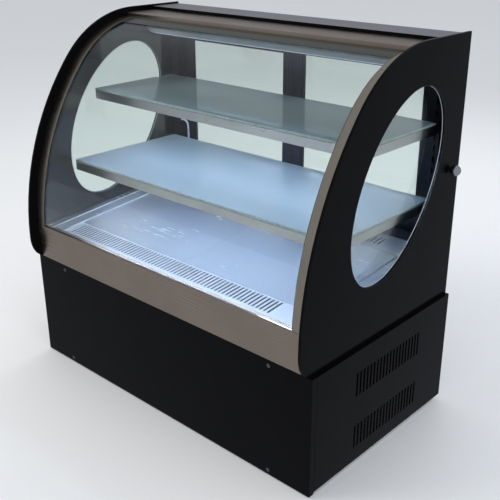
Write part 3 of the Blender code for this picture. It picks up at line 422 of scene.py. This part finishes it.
def copper_tube():
    """Drawn copper tube, browned by brazing heat in places."""
    return surface("copper_tube_drawn", "#C77B58", "#8C4A32", 0.30, 0.10, (3, 3, 3), 0.008, 22, 1.0)


def galvanised_sheet():
    """Hot-dip galvanised steel: grey with a flowery crystal pattern about 9 mm across."""
    return surface("galvanised_steel", "#9B9EA1", "#7D8184", 0.42, 0.16, (9, 9, 9), 0.01, 18, 0.9)


def zinc_screw():
    """Zinc-plated screw steel with a blue-silver passivate."""
    return surface("zinc_plated_steel", "#9EA3AA", "#858A92", 0.28, 0.08, (1.5, 1.5, 1.5), 0.01, 6, 1.0)


def compressor_enamel():
    """Semi-gloss black stoving enamel over a deep-drawn shell."""
    return surface("stoving_enamel_black", "#121213", "#1A1A1C", 0.28, 0.10, (5, 5, 5), 0.03, 45)


def pvc_lead():
    """White PVC insulation, faintly dulled by handling."""
    return surface("pvc_white", "#E6E8EB", "#D9DCE0", 0.38, 0.06, (3, 3, 3), 0.008, 30)


def studio_floor():
    """Matt vinyl studio floor in pale grey."""
    return surface("studio_vinyl_floor", "#E6E7E8", "#E1E2E4", 0.62, 0.06, (12, 12, 12), 0.02, 900)


POWDER = black_powder_coat()
ROOF = roof_powder_painted_light()
SATIN = satin_black_aluminium()
SATIN_SHEEN = ribs_painted_sheen()
STEEL = brushed_stainless()
CHANNEL = channel_stainless()
MIRROR = deck_steel_painted_reflection()
GRILLE = satin_grille()
CHROME = polished_knob()
GLASS = float_glass()
EDGE_GLOW = glass_edge_painted_glow()
LINER = white_coated_steel()
HOLLOW_SHADE = tub_liner_painted_shade()
OPAL = opal_acrylic("opal_acrylic_shelf_lamp", 21.0)
OPAL_DIM = opal_acrylic("opal_acrylic_roof_lamp", 0.9)
SHELF_GLASS = shelf_glass()
HOUSING = anodised_housing()
SHELF_METAL = shelf_aluminium()
RUBBER = epdm_rubber()
BEAD_CLEAR = silicone_bead()
BEAD_BLACK = black_silicone()
FRIT = ceramic_frit()
ABS = moulded_abs()
GREY_ABS = grey_abs()
SMOKED = smoked_acrylic()
SEGMENT = lit_segment()
FINS = mill_aluminium()
FILTER = filter_mat()
COPPER = copper_tube()
GALVANISED = galvanised_sheet()
ZINC = zinc_screw()
ENAMEL = compressor_enamel()
PVC = pvc_lead()


# Modelling helpers


def deselect():
    if bpy.context.object and bpy.context.object.mode != "OBJECT":
        bpy.ops.object.mode_set(mode="OBJECT")
    bpy.ops.object.select_all(action="DESELECT")


def take(piece):
    """Makes a piece the only selected object."""
    deselect()
    piece.select_set(True)
    bpy.context.view_layer.objects.active = piece
    return piece


def modify(piece, kind, **settings):
    """Adds a modifier to a piece and applies it."""
    take(piece)
    step = piece.modifiers.new(kind.lower(), kind)
    for key, value in settings.items():
        setattr(step, key, value)
    bpy.ops.object.modifier_apply(modifier=step.name)
    return piece


def settle(piece):
    """Puts a piece's place, turn and size into its mesh."""
    take(piece)
    bpy.ops.object.transform_apply(location=True, rotation=True, scale=True)
    return piece


def finish(piece, name, body, slot, *materials):
    """Names a piece, shades it, gives it its materials and fixes it to its body."""
    take(piece)
    piece.name = name
    piece.data.name = name
    if piece.type == "MESH":
        bpy.ops.object.shade_smooth_by_angle(angle=SMOOTH_ANGLE)
        modify(piece, "WEIGHTED_NORMAL", weight=100, keep_sharp=True)
    piece.data.materials.clear()
    for material in materials:
        piece.data.materials.append(material)
    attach(piece, body)
    return piece


def rounded(piece, width, segments=2, angle=30.0):
    return modify(
        piece, "BEVEL", width=width, segments=segments, limit_method="ANGLE", angle_limit=math.radians(angle)
    )


def box_between(low, high, width=0.0004, segments=2):
    """A box between two corners with rounded edges."""
    deselect()
    middle = [(a + b) / 2 for a, b in zip(low, high)]
    bpy.ops.mesh.primitive_cube_add(size=1.0, location=middle)
    piece = bpy.context.object
    piece.scale = [b - a for a, b in zip(low, high)]
    settle(piece)
    return rounded(piece, width, segments)


def disc(radius, depth, place, direction, sides=32, width=0.0004):
    """A short cylinder with rounded rims, its middle at a place and its axis along a direction."""
    deselect()
    turn = Vector((0, 0, 1)).rotation_difference(Vector(direction)).to_euler()
    bpy.ops.mesh.primitive_cylinder_add(
        vertices=sides, radius=radius, depth=depth, location=place, rotation=turn
    )
    return rounded(settle(bpy.context.object), width, 2)


def carve(piece, cutter):
    """Cuts one shape from another and removes the cutter."""
    modify(piece, "BOOLEAN", operation="DIFFERENCE", solver="EXACT", object=cutter)
    bpy.data.objects.remove(cutter, do_unlink=True)
    return piece


def gather(pieces):
    """Joins separate shapes into one mesh."""
    take(pieces[0])
    for piece in pieces[1:]:
        piece.select_set(True)
    bpy.ops.object.join()
    return bpy.context.object


def tube(points, radius, cyclic=False, sides=3):
    """A round bar along points, as a curve object."""
    data = bpy.data.curves.new("tube", "CURVE")
    data.dimensions = "3D"
    data.bevel_depth = radius
    data.bevel_resolution = sides
    data.use_fill_caps = not cyclic
    spline = data.splines.new("POLY")
    spline.points.add(len(points) - 1)
    for knot, point in zip(spline.points, points):
        knot.co = (*point, 1.0)
    spline.use_cyclic_u = cyclic
    piece = bpy.data.objects.new("tube", data)
    bpy.context.scene.collection.objects.link(piece)
    return piece


def as_mesh(piece):
    """A curve object as a mesh, its caps welded and its faces outward."""
    take(piece)
    bpy.ops.object.convert(target="MESH")
    piece = bpy.context.object
    bpy.ops.object.mode_set(mode="EDIT")
    bpy.ops.mesh.select_all(action="SELECT")
    bpy.ops.mesh.remove_doubles(threshold=CAP_MERGE)
    bpy.ops.mesh.normals_make_consistent(inside=False)
    bpy.ops.object.mode_set(mode="OBJECT")
    return piece


def ribbon(path, x0, x1, thickness, width=0.0003):
    """A sheet bent along (y, z) points and straight along X, as thick as stated."""
    data = bpy.data.curves.new("ribbon", "CURVE")
    data.dimensions = "2D"
    data.extrude = (x1 - x0) / 2
    spline = data.splines.new("POLY")
    spline.points.add(len(path) - 1)
    for knot, (y, z) in zip(spline.points, path):
        knot.co = (y, z, 0.0, 1.0)
    piece = bpy.data.objects.new("ribbon", data)
    bpy.context.scene.collection.objects.link(piece)
    piece.rotation_euler = (math.pi / 2, 0.0, math.pi / 2)
    piece.location = ((x0 + x1) / 2, 0.0, 0.0)
    piece = settle(as_mesh(piece))
    modify(piece, "SOLIDIFY", thickness=thickness, offset=0.0)
    return rounded(piece, width, 2)


def refined(node, width, *materials, segments=2, angle=30.0):
    """A copy of a CAD node in clean faces with rounded edges, which stands for the node."""
    source = NODES[node]
    piece = source.copy()
    piece.data = source.data.copy()
    for key in list(piece.keys()):
        del piece[key]
    piece.parent = None
    bpy.context.scene.collection.objects.link(piece)
    take(piece)
    bpy.ops.object.mode_set(mode="EDIT")
    bpy.ops.mesh.select_all(action="SELECT")
    bpy.ops.mesh.remove_doubles(threshold=CLEAN_MERGE)
    bpy.ops.mesh.dissolve_limited(angle_limit=CLEAN_ANGLE)
    bpy.ops.object.mode_set(mode="OBJECT")
    if width:
        rounded(piece, width, segments, angle)
    finish(piece, node + "_finished", BODY_OF[node], SLOT_OF[node], *materials)
    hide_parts(node)
    return piece


def outline_of(node):
    """(y, z) points round the end of a CAD node that is extruded along X, in order."""
    piece = NODES[node].copy()
    piece.data = NODES[node].data.copy()
    piece.hide_viewport = False
    bpy.context.scene.collection.objects.link(piece)
    take(piece)
    bpy.ops.object.mode_set(mode="EDIT")
    bpy.ops.mesh.select_all(action="SELECT")
    bpy.ops.mesh.remove_doubles(threshold=CLEAN_MERGE)
    bpy.ops.mesh.dissolve_limited(angle_limit=CLEAN_ANGLE)
    bpy.ops.object.mode_set(mode="OBJECT")
    mesh = piece.data
    ends = [face for face in mesh.polygons if face.normal.x < -0.99]
    face = max(ends, key=lambda item: item.area)
    points = [(mesh.vertices[i].co.y, mesh.vertices[i].co.z) for i in face.vertices]
    bpy.data.objects.remove(piece, do_unlink=True)
    return points


def outer_path(node):
    """The outer (front and upper) edge of a curved band node, from its foot to its top end."""
    points = outline_of(node)
    foot = min(range(len(points)), key=lambda i: (round(points[i][1], 4), points[i][0]))
    points = points[foot:] + points[:foot]
    top = max(range(len(points)), key=lambda i: points[i][1])
    one_way = points[: top + 1]
    other_way = [points[0]] + points[: top - 1 : -1]
    return max((one_way, other_way), key=lambda path: sum(z - y for y, z in path) / len(path))


def offset_path(path, distance):
    """The path moved to its left, which is outwards on the front curve."""
    moved = []
    for i, (y, z) in enumerate(path):
        before, after = path[max(i - 1, 0)], path[min(i + 1, len(path) - 1)]
        dy, dz = after[0] - before[0], after[1] - before[1]
        length = math.hypot(dy, dz)
        moved.append((y - dz / length * distance, z + dy / length * distance))
    return moved


# Glazing


def make_glass():
    """Panes with arrised edges: the broad faces are glass, the narrow faces of the shelf panes take the
    painted glow of their edge, and those of the other panes black silicone.
    """
    panes = ["front_glass", "side_glass_left", "side_glass_right", "door_glass_left", "door_glass_right"]
    for node in panes + ["shelf_glass_upper", "shelf_glass_lower"]:
        shelf = node.startswith("shelf")
        body, rim = (SHELF_GLASS, EDGE_GLOW) if shelf else (GLASS, BEAD_BLACK)
        piece = refined(node, 0.0006, body, rim, segments=1)
        low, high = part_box(node)
        thin = min(range(3), key=lambda k: high[k] - low[k])
        for face in piece.data.polygons:
            if node == "front_glass":
                face.material_index = 1 if abs(face.normal.x) > 0.5 else 0
            else:
                face.material_index = 0 if abs(face.normal[thin]) > 0.9 else 1


def make_front_seals():
    """Black silicone beside each channel, and the fired band along the glass's upper edge."""
    path = outer_path("front_glass")
    on_glass = offset_path(path, SEAL_HEIGHT)
    for side in ("left", "right"):
        low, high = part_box(f"glass_channel_{side}")
        x = high.x if side == "left" else low.x - SEAL
        seal = ribbon(on_glass, x, x + SEAL, SEAL_THICKNESS)
        finish(seal, f"glass_seal_{side}", "cabinet", "black_rubber", BEAD_BLACK)
    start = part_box("top_trim")[0].y - FRIT_WIDTH
    band = [point for point in offset_path(path, FRIT_HEIGHT) if point[0] > start]
    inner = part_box("glass_channel_right")[0].x - SEAL
    strip = ribbon(band, -inner, inner, FRIT_HEIGHT)
    finish(strip, "glass_frit_band", "cabinet", "black_rubber", FRIT)


def make_channels():
    for side in ("left", "right"):
        refined(f"glass_channel_{side}", 0.0004, CHANNEL)


# Side skins, with the bead round each oval


def window_points(steps=96):
    """(y, z) points round the oval window, from the skin's own box and margins."""
    low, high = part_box("side_skin_left")
    y0, y1 = low.y + WINDOW_MARGINS_Y[0], high.y - WINDOW_MARGINS_Y[1]
    z0, z1 = low.z + WINDOW_MARGINS_Z[0], high.z - WINDOW_MARGINS_Z[1]
    return [
        (
            (y0 + y1) / 2 + (y1 - y0) / 2 * math.cos(math.tau * i / steps),
            (z0 + z1) / 2 + (z1 - z0) / 2 * math.cos(math.tau * i / steps - WINDOW_SLANT),
        )
        for i in range(steps)
    ]


def make_skins():
    """Side skins, each with a clear bead inside its oval and a black one outside."""
    for side, outward in (("left", -1), ("right", 1)):
        refined(f"side_skin_{side}", 0.0012, POWDER, segments=3)
        low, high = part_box(f"side_skin_{side}")
        inner, outer = (high.x, low.x) if side == "left" else (low.x, high.x)
        sink = outward * OVAL_BEAD_SINK
        rings = [
            as_mesh(tube([(x, y, z) for y, z in window_points()], OVAL_BEAD, True))
            for x in (inner + sink, outer - sink)
        ]
        finish(rings[0], f"oval_inner_bead_{side}", "cabinet", "clear_glass", BEAD_CLEAR)
        finish(rings[1], f"oval_outer_bead_{side}", "cabinet", "black_rubber", BEAD_BLACK)


# Metalwork


def make_metalwork():
    refined("front_bumper", 0.0005, STEEL, segments=3)
    refined("top_trim", 0.0008, STEEL, segments=3)
    panel = refined("top_panel", 0.0006, ROOF, POWDER, segments=3)
    # All faces but the front and rear ones take the roof finish, whose grey is painted light; the front and
    # rear faces keep the black powder.
    for face in panel.data.polygons:
        face.material_index = 1 if abs(face.normal.y) > 0.7 else 0
    refined("top_lamp", 0.0008, HOUSING, segments=3)
    refined("front_panel", 0.0006, POWDER, segments=2)
    for side in ("left", "right"):
        refined(f"base_side_{side}", 0.0003, POWDER, segments=1)
        # The deck plates take the steel painted with the lamps' bluish-white reflection.
        refined(f"deck_plate_{side}", 0.0003, MIRROR, segments=2)
        refined(f"side_knob_{side}", 0.0, CHROME)
    refined("front_grille", 0.0003, GRILLE, segments=1)
    refined("rear_grille", 0.0003, GRILLE, segments=1)
    refined("base_pan", 0.0005, GALVANISED)
    refined("rear_panel", 0.0003, SATIN, segments=1)


def make_screw(name, node):
    """Pan-head screw with a cross recess, on a flat washer."""
    low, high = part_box(node)
    middle = (low + high) / 2
    radius = (high.x - low.x) / 2
    place = (middle.x, low.y + SCREW_HEAD_PLACE, middle.z)
    head = disc(radius * SCREW_HEAD_SHARE, SCREW_HEAD_DEPTH, place, (0, -1, 0), 28, 0.0009)
    for wide, tall in ((RECESS_LONG, RECESS_NARROW), (RECESS_NARROW, RECESS_LONG)):
        reach = Vector((wide / 2, RECESS_DEPTH, tall / 2))
        spot = Vector((middle.x, low.y, middle.z))
        carve(head, box_between(spot - reach, spot + reach, 0.0001, 1))
    place = (middle.x, high.y - WASHER_DEPTH / 2, middle.z)
    washer = disc(radius, WASHER_DEPTH, place, (0, 1, 0), 28, 0.0002)
    piece = finish(gather([head, washer]), name, BODY_OF[node], SLOT_OF[node], ZINC)
    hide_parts(node)


def make_screws():
    for row in ("low", "high"):
        for side in ("left", "right"):
            make_screw(f"cross_head_screw_{row}_{side}", f"front_screw_{row}_{side}")


def make_feet():
    """Rubber feet with moulded rings under a flat top."""
    for row in ("front", "rear"):
        for side in ("left", "right"):
            node = f"foot_{row}_{side}"
            low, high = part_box(node)
            middle = (low + high) / 2
            radius = (high.x - low.x) / 2
            parts = [disc(radius * FOOT_CORE_SHARE, high.z - low.z, middle, (0, 0, 1), 40, 0.0008)]
            for share in FOOT_RING_SHARES:
                place = (middle.x, middle.y, low.z + share * (high.z - low.z))
                parts.append(disc(radius, FOOT_RING_DEPTH, place, (0, 0, 1), 40, 0.0008))
            piece = finish(gather(parts), f"ringed_{node}", BODY_OF[node], SLOT_OF[node], RUBBER)
            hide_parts(node)


# Rear frame and doors


def make_rear():
    """Rear frame and doors, with glazing gaskets, ribbed meeting stiles and brush seals."""
    refined("rear_frame", 0.0008, SATIN, segments=2)
    for side in ("left", "right"):
        node = f"door_frame_{side}"
        refined(node, 0.0006, SATIN, segments=2)
        pane_low, pane_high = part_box(f"door_glass_{side}")
        low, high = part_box(node)
        loop = [
            (pane_low.x, pane_low.z), (pane_high.x, pane_low.z),
            (pane_high.x, pane_high.z), (pane_low.x, pane_high.z),
        ]
        rims = []
        for y in (pane_low.y - GASKET_SINK, pane_high.y + GASKET_SINK):
            rims.append(as_mesh(tube([(x, y, z) for x, z in loop], GASKET / 2, True)))
        finish(gather(rims), f"glazing_gasket_{side}", BODY_OF[node], "black_rubber", RUBBER)
        centre = high.x - STILE_HALF if side == "left" else low.x + STILE_HALF
        # The ribs take a lighter copy of the satin coat, which is a painted sheen.
        ribs = [
            box_between(
                (centre + step - RIB_HALF, low.y - RIB_PROUD, low.z + RIB_END),
                (centre + step + RIB_HALF, low.y + RIB_SINK, high.z - RIB_END),
                0.0007,
            )
            for step in RIB_STEPS
        ]
        finish(gather(ribs), f"stile_ribs_{side}", BODY_OF[node], SLOT_OF[node], SATIN_SHEEN)
        if side == "left":
            near, far = high.y + BRUSH_CLEAR, high.y + BRUSH_DEPTH
        else:
            near, far = low.y - BRUSH_DEPTH, low.y - BRUSH_CLEAR
        tuft = box_between(
            (centre - BRUSH_WIDTH / 2, near, low.z + BRUSH_END),
            (centre + BRUSH_WIDTH / 2, far, high.z - BRUSH_END),
            0.0008,
        )
        finish(tuft, f"brush_seal_{side}", BODY_OF[node], "black_rubber", RUBBER)


# Shelves


def ladder(low, high, skip):
    """(z0, z1) of the bars left between the slots of an upright."""
    bars = []
    z = low + SLOT_START
    while z + SLOT_STEP - SLOT_HEIGHT < high:
        bar = (z, z + SLOT_STEP - SLOT_HEIGHT)
        if not any(bar[0] < top + SLOT_CLEAR and bar[1] > bottom - SLOT_CLEAR for bottom, top in skip):
            bars.append(bar)
        z += SLOT_STEP
    return bars


def make_uprights():
    """Slotted standards: bars across the groove leave a column of slots."""
    skip = [(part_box(node)[0].z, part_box(node)[1].z) for node in ("shelf_frame_upper", "shelf_frame_lower")]
    for side in ("left", "right"):
        node = f"shelf_upright_{side}"
        refined(node, 0.0005, SATIN)
        low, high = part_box(node)
        middle = (low.x + high.x) / 2
        parts = []
        for z0, z1 in ladder(low.z, high.z, skip):
            near = (middle - SLOT_BAR_HALF, low.y + SLOT_BAR_DEPTHS[0], z0)
            far = (middle + SLOT_BAR_HALF, low.y + SLOT_BAR_DEPTHS[1], z1)
            parts.append(box_between(near, far, 0.0003, 1))
        finish(gather(parts), f"slot_bars_{side}", "cabinet", SLOT_OF[node], SATIN)


def make_shelves():
    """Shelf frames and their lit strips, each between two end caps."""
    for word in ("upper", "lower"):
        refined(f"shelf_frame_{word}", 0.0009, SHELF_METAL, segments=3)
        refined(f"shelf_lamp_{word}", 0.0008, OPAL, segments=2)
        low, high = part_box(f"shelf_lamp_{word}")
        caps = []
        for x in (low.x - LAMP_CAP - LAMP_CAP_CLEAR, high.x + LAMP_CAP_CLEAR):
            near = (x, low.y - LAMP_CAP_PROUD, low.z - LAMP_CAP_DROP)
            caps.append(box_between(near, (x + LAMP_CAP, high.y, high.z), 0.0003))
        finish(gather(caps), f"lamp_end_caps_{word}", "cabinet", "grey_plastic", GREY_ABS)


def make_top_lamp():
    """Opal strip under the roof lamp's housing, between two end caps."""
    low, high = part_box("top_lamp")
    y0, y1 = low.y + ROOF_STRIP_MARGINS[0], high.y - ROOF_STRIP_MARGINS[1]
    near = (low.x + ROOF_STRIP_END, y0, low.z - ROOF_STRIP_DROP)
    far = (high.x - ROOF_STRIP_END, y1, low.z - ROOF_STRIP_CLEAR)
    strip = box_between(near, far, 0.0005, 3)
    finish(strip, "top_lamp_diffuser", "cabinet", "lamp_cover", OPAL_DIM)
    caps = []
    for x in (low.x + ROOF_CAP_END, high.x - ROOF_CAP_END - ROOF_CAP):
        near = (x, y0 - ROOF_CAP_LAP, low.z - ROOF_CAP_DROP)
        caps.append(box_between(near, (x + ROOF_CAP, y1, low.z - ROOF_STRIP_CLEAR), 0.0008))
    finish(gather(caps), "top_lamp_end_caps", "cabinet", "grey_plastic", GREY_ABS)


def smooth_path(points, steps):
    """Catmull-Rom curve through the points."""
    full = [points[0]] + points + [points[-1]]
    path = []
    for a, b, c, d in zip(full, full[1:], full[2:], full[3:]):
        for j in range(steps):
            t = j / steps
            spot = []
            for k in range(3):
                bend = (2 * a[k] - 5 * b[k] + 4 * c[k] - d[k]) * t**2
                twist = (3 * b[k] - a[k] - 3 * c[k] + d[k]) * t**3
                spot.append((2 * b[k] + (c[k] - a[k]) * t + bend + twist) / 2)
            path.append(tuple(spot))
    return path + [points[-1]]


def make_lead():
    lead = tube(smooth_path(LEAD_ROUTE, 10), LEAD_DIAMETER / 2, sides=4)
    finish(lead, "lamp_lead_finished", "cabinet", "white_pvc", PVC)
    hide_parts("lamp_lead")


# Tub and deck


def make_tub():
    """The tub's rim is polished steel with the deck's painted lamp reflection, its hidden and lower faces are
    painted shade, and its deck edges are beaded.
    """
    tub = refined("insulated_tub", 0.0008, LINER, MIRROR, HOLLOW_SHADE, segments=2)
    cabinet_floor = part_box("front_panel")[1].z
    front_low, front_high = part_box("front_grille")
    hollow_top = front_low.z
    for face in tub.data.polygons:
        height = face.center.z
        if height > hollow_top - RIM_BAND and face.normal.z > 0.5:
            face.material_index = 1
        # Faces below the top of the front panel and those in the hollow under the grilles take the painted
        # shade.
        elif height < cabinet_floor or (abs(face.center.x) < front_high.x and height < hollow_top):
            face.material_index = 2
    plate_edge = abs(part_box("deck_plate_left")[0].x)
    pane_face = abs(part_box("side_glass_left")[1].x)
    ends = (front_low.y + DECK_BEAD_END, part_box("rear_grille")[1].y - DECK_BEAD_END)
    rise = front_high.z + DECK_BEAD_RISE
    runs = []
    for side in (-1, 1):
        for x, radius in ((pane_face - PANE_BEAD_INSET, PANE_BEAD), (plate_edge + PLATE_BEAD, PLATE_BEAD)):
            points = [(side * x, y, rise + (y - front_high.y) * DECK_SLOPE) for y in ends]
            runs.append(as_mesh(tube(points, radius)))
    finish(gather(runs), "deck_edge_beads", "cabinet", "clear_glass", BEAD_CLEAR)


# Machinery


def make_coil_tubes():
    """Copper return bends that stand out of the condenser's ends."""
    low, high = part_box("condenser_coil")
    bends = []
    step = (high.z - low.z) / FIN_TUBE_ROWS
    y = (low.y + high.y) / 2
    turns = [math.pi * i / 8 for i in range(9)]
    for row in range(FIN_TUBE_ROWS):
        z = low.z + (row + 0.5) * step
        for x, way in ((low.x, -RETURN_BEND), (high.x, RETURN_BEND)):
            arc = [(x + way * math.sin(a), y - RETURN_BEND * math.cos(a), z) for a in turns]
            bends.append(as_mesh(tube(arc, FIN_TUBE)))
    finish(gather(bends), "condenser_return_bends", "cabinet", "fin_aluminium", COPPER)


def make_machinery():
    refined("condenser_coil", 0.0, FINS)
    refined("evaporator_coil", 0.0, FINS)
    refined("condenser_fan_shroud", 0.0008, GALVANISED)
    refined("evaporator_fan_housing", 0.0008, GREY_ABS)
    refined("condenser_fan_blade", 0.0006, ABS)
    refined("evaporator_fan_blade", 0.0006, ABS)
    refined("compressor", 0.0010, ENAMEL)
    low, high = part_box("compressor")
    middle = (low + high) / 2
    radius = (high.x - low.x) / 2 / COMPRESSOR_FOOTPRINT
    seam = [
        (
            middle.x + radius * math.cos(math.tau * i / 48),
            middle.y + radius * math.sin(math.tau * i / 48),
            low.z + SEAM_HEIGHT,
        )
        for i in range(48)
    ]
    bead = as_mesh(tube(seam, SEAM_RADIUS, True))
    finish(bead, "compressor_weld_seam", "cabinet", "black_enamel", ENAMEL)
    start = (middle.x + radius * PIPE_START_SHARE, middle.y + PIPE_START[0], low.z + PIPE_START[1])
    pipe = [start] + [(middle.x + radius + x, middle.y + y, low.z + z) for x, y, z in PIPE_ROUTE]
    bent = as_mesh(tube(smooth_path(pipe, 6), PIPE_RADIUS))
    finish(bent, "discharge_pipe", "cabinet", "fin_aluminium", COPPER)
    make_coil_tubes()


def make_filter():
    """Dust filter in a rod frame over the inner side of the rear panel's slots."""
    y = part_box("rear_panel")[0].y - FILTER_CLEAR
    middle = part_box("rear_panel")[1].x / 2
    low = (middle - FILTER_HALF, FILTER_HEIGHTS[0])
    high = (middle + FILTER_HALF, FILTER_HEIGHTS[1])
    mat = box_between((low[0], y - FILTER_DEPTH, low[1]), (high[0], y, high[1]), 0.0006)
    finish(mat, "rear_dust_filter", "cabinet", "black_plastic", FILTER)
    loop = [(low[0], low[1]), (high[0], low[1]), (high[0], high[1]), (low[0], high[1])]
    rod_y = y - FILTER_DEPTH - FILTER_ROD
    rod = as_mesh(tube([(x, rod_y, z) for x, z in loop], FILTER_ROD, True))
    finish(rod, "filter_frame_rod", "cabinet", "zinc_steel", ZINC)


# Controls


# Each segment's place across and up, in half steps from the digit's middle, and whether it lies flat
SEGMENTS = {
    "a": (0, 1, True), "b": (0.5, 0.5, False), "c": (0.5, -0.5, False), "d": (0, -1, True),
    "e": (-0.5, -0.5, False), "f": (-0.5, 0.5, False), "g": (0, 0, True),
}
DIGITS = {"0": "abcdef", "5": "afgcd"}
READOUT = "05"
DISPLAY_HALF = 0.022
DISPLAY_HEIGHTS = (-0.001, 0.0135)
DISPLAY_SINK = 0.0002
DISPLAY_PROUD = 0.0006
BEZEL = 0.0008
DIGIT_PITCH = 0.012
DIGIT_RISE = 0.0062
SEGMENT_STEP = (0.0052, 0.0046)
FLAT_SEGMENT = (0.0019, 0.0005)
UPRIGHT_SEGMENT = (0.0005, 0.0018)
SEGMENT_PROUD = 0.0009


def make_display():
    """Smoked window over two seven-segment digits, in a thin bezel."""
    low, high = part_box("thermostat_body")
    middle = (low + high) / 2
    y = high.y
    window_low, window_high = (middle.z + height for height in DISPLAY_HEIGHTS)
    window = box_between(
        (middle.x - DISPLAY_HALF, y - DISPLAY_SINK, window_low),
        (middle.x + DISPLAY_HALF, y + DISPLAY_PROUD, window_high),
        0.0003,
    )
    finish(window, "thermostat_window", "cabinet", "grey_plastic", SMOKED)
    x0, x1 = middle.x - DISPLAY_HALF - BEZEL, middle.x + DISPLAY_HALF + BEZEL
    z0, z1 = window_low - BEZEL, window_high + BEZEL
    loop = [(x0, z0), (x1, z0), (x1, z1), (x0, z1)]
    bezel = as_mesh(tube([(x, y + DISPLAY_SINK, z) for x, z in loop], BEZEL, True))
    finish(bezel, "thermostat_bezel", "cabinet", "grey_plastic", GREY_ABS)
    bars = []
    for number, digit in enumerate(READOUT):
        centre_x = middle.x + (0.5 - number) * DIGIT_PITCH
        for name in DIGITS[digit]:
            across, up, flat = SEGMENTS[name]
            x = centre_x - across * SEGMENT_STEP[0]
            z = middle.z + DIGIT_RISE + up * SEGMENT_STEP[1]
            wide, tall = FLAT_SEGMENT if flat else UPRIGHT_SEGMENT
            near = (x - wide, y + DISPLAY_PROUD, z - tall)
            far = (x + wide, y + SEGMENT_PROUD, z + tall)
            bars.append(box_between(near, far, 0.0001, 1))
    finish(gather(bars), "thermostat_digits", "cabinet", "grey_plastic", SEGMENT)


def make_controls():
    refined("control_panel", 0.0005, ABS)
    refined("thermostat_body", 0.0006, GREY_ABS)
    refined("cord_gland", 0.0003, ABS)
    for word in ("set", "up", "down"):
        refined(f"{word}_button", 0.0003, RUBBER)
    for word in ("lamp", "power"):
        refined(f"{word}_switch", 0.0004, ABS)
    make_display()


# Studio


def make_camera():
    data = bpy.data.cameras.new("camera")
    data.lens = LENS
    camera = bpy.data.objects.new("camera", data)
    bpy.context.scene.collection.objects.link(camera)
    yaw, pitch, roll = CAMERA_YAW, CAMERA_PITCH, CAMERA_ROLL
    ahead = Vector((-math.sin(yaw) * math.cos(pitch), math.cos(yaw) * math.cos(pitch), -math.sin(pitch)))
    right = Vector((math.cos(yaw), math.sin(yaw), 0.0))
    up = right.cross(ahead)
    turned_right = right * math.cos(roll) + up * math.sin(roll)
    turned_up = up * math.cos(roll) - right * math.sin(roll)
    turn = Matrix((turned_right, turned_up, -ahead)).transposed().to_4x4()
    camera.matrix_world = Matrix.Translation(CAMERA_PLACE) @ turn
    bpy.context.scene.camera = camera


def softbox(name, place, target, size, power, colour="#FFFFFF"):
    data = bpy.data.lights.new(name, "AREA")
    data.shape = "RECTANGLE"
    data.size, data.size_y = size
    data.energy = power
    data.color = linear(colour)[:3]
    lamp = bpy.data.objects.new(name, data)
    bpy.context.scene.collection.objects.link(lamp)
    lamp.location = place
    lamp.visible_glossy = False
    lamp.visible_transmission = False
    lamp.rotation_euler = (Vector(target) - Vector(place)).to_track_quat("-Z", "Y").to_euler()


def make_studio():
    deselect()
    bpy.ops.mesh.primitive_plane_add(size=30.0, location=(0.0, 0.0, 0.0))
    floor = bpy.context.object
    floor.name = "studio_floor"
    floor.data.materials.append(studio_floor())
    floor.visible_glossy = False
    world = bpy.data.worlds.new("studio")
    bpy.context.scene.world = world
    world.use_nodes = True
    tree = world.node_tree
    sky = tree.nodes["Background"]
    sky.inputs["Color"].default_value = linear("#EEF1F4")
    sky.inputs["Strength"].default_value = 0.98
    reflected = add(tree, "ShaderNodeBackground", {"Color": linear("#C8CBD4"), "Strength": 0.50})
    rays = add(tree, "ShaderNodeLightPath")
    sides = {0: rays.outputs["Is Glossy Ray"], 1: sky.outputs[0], 2: reflected.outputs[0]}
    mixed = add(tree, "ShaderNodeMixShader", {}, sides)
    tree.links.new(mixed.outputs[0], tree.nodes["World Output"].inputs["Surface"])
    softbox("key_softbox", (-1.6, -1.8, 2.6), (0, 0, 0.45), (1.6, 1.2), 36, "#FFF6EC")
    softbox("fill_softbox", (2.6, -0.6, 1.8), (0, 0, 0.4), (1.4, 1.4), 16, "#F2F6FF")
    softbox("rear_softbox", (-0.4, 2.4, 2.2), (0, 0, 0.6), (2.0, 1.0), 20, "#F5F8FF")
    bpy.context.scene.view_settings.view_transform = "Standard"


make_camera()
make_lead()
make_glass()
make_channels()
make_front_seals()
make_skins()
make_metalwork()
make_screws()
make_feet()
make_rear()
make_uprights()
make_shelves()
make_top_lamp()
make_tub()
make_machinery()
make_filter()
make_controls()
make_studio()
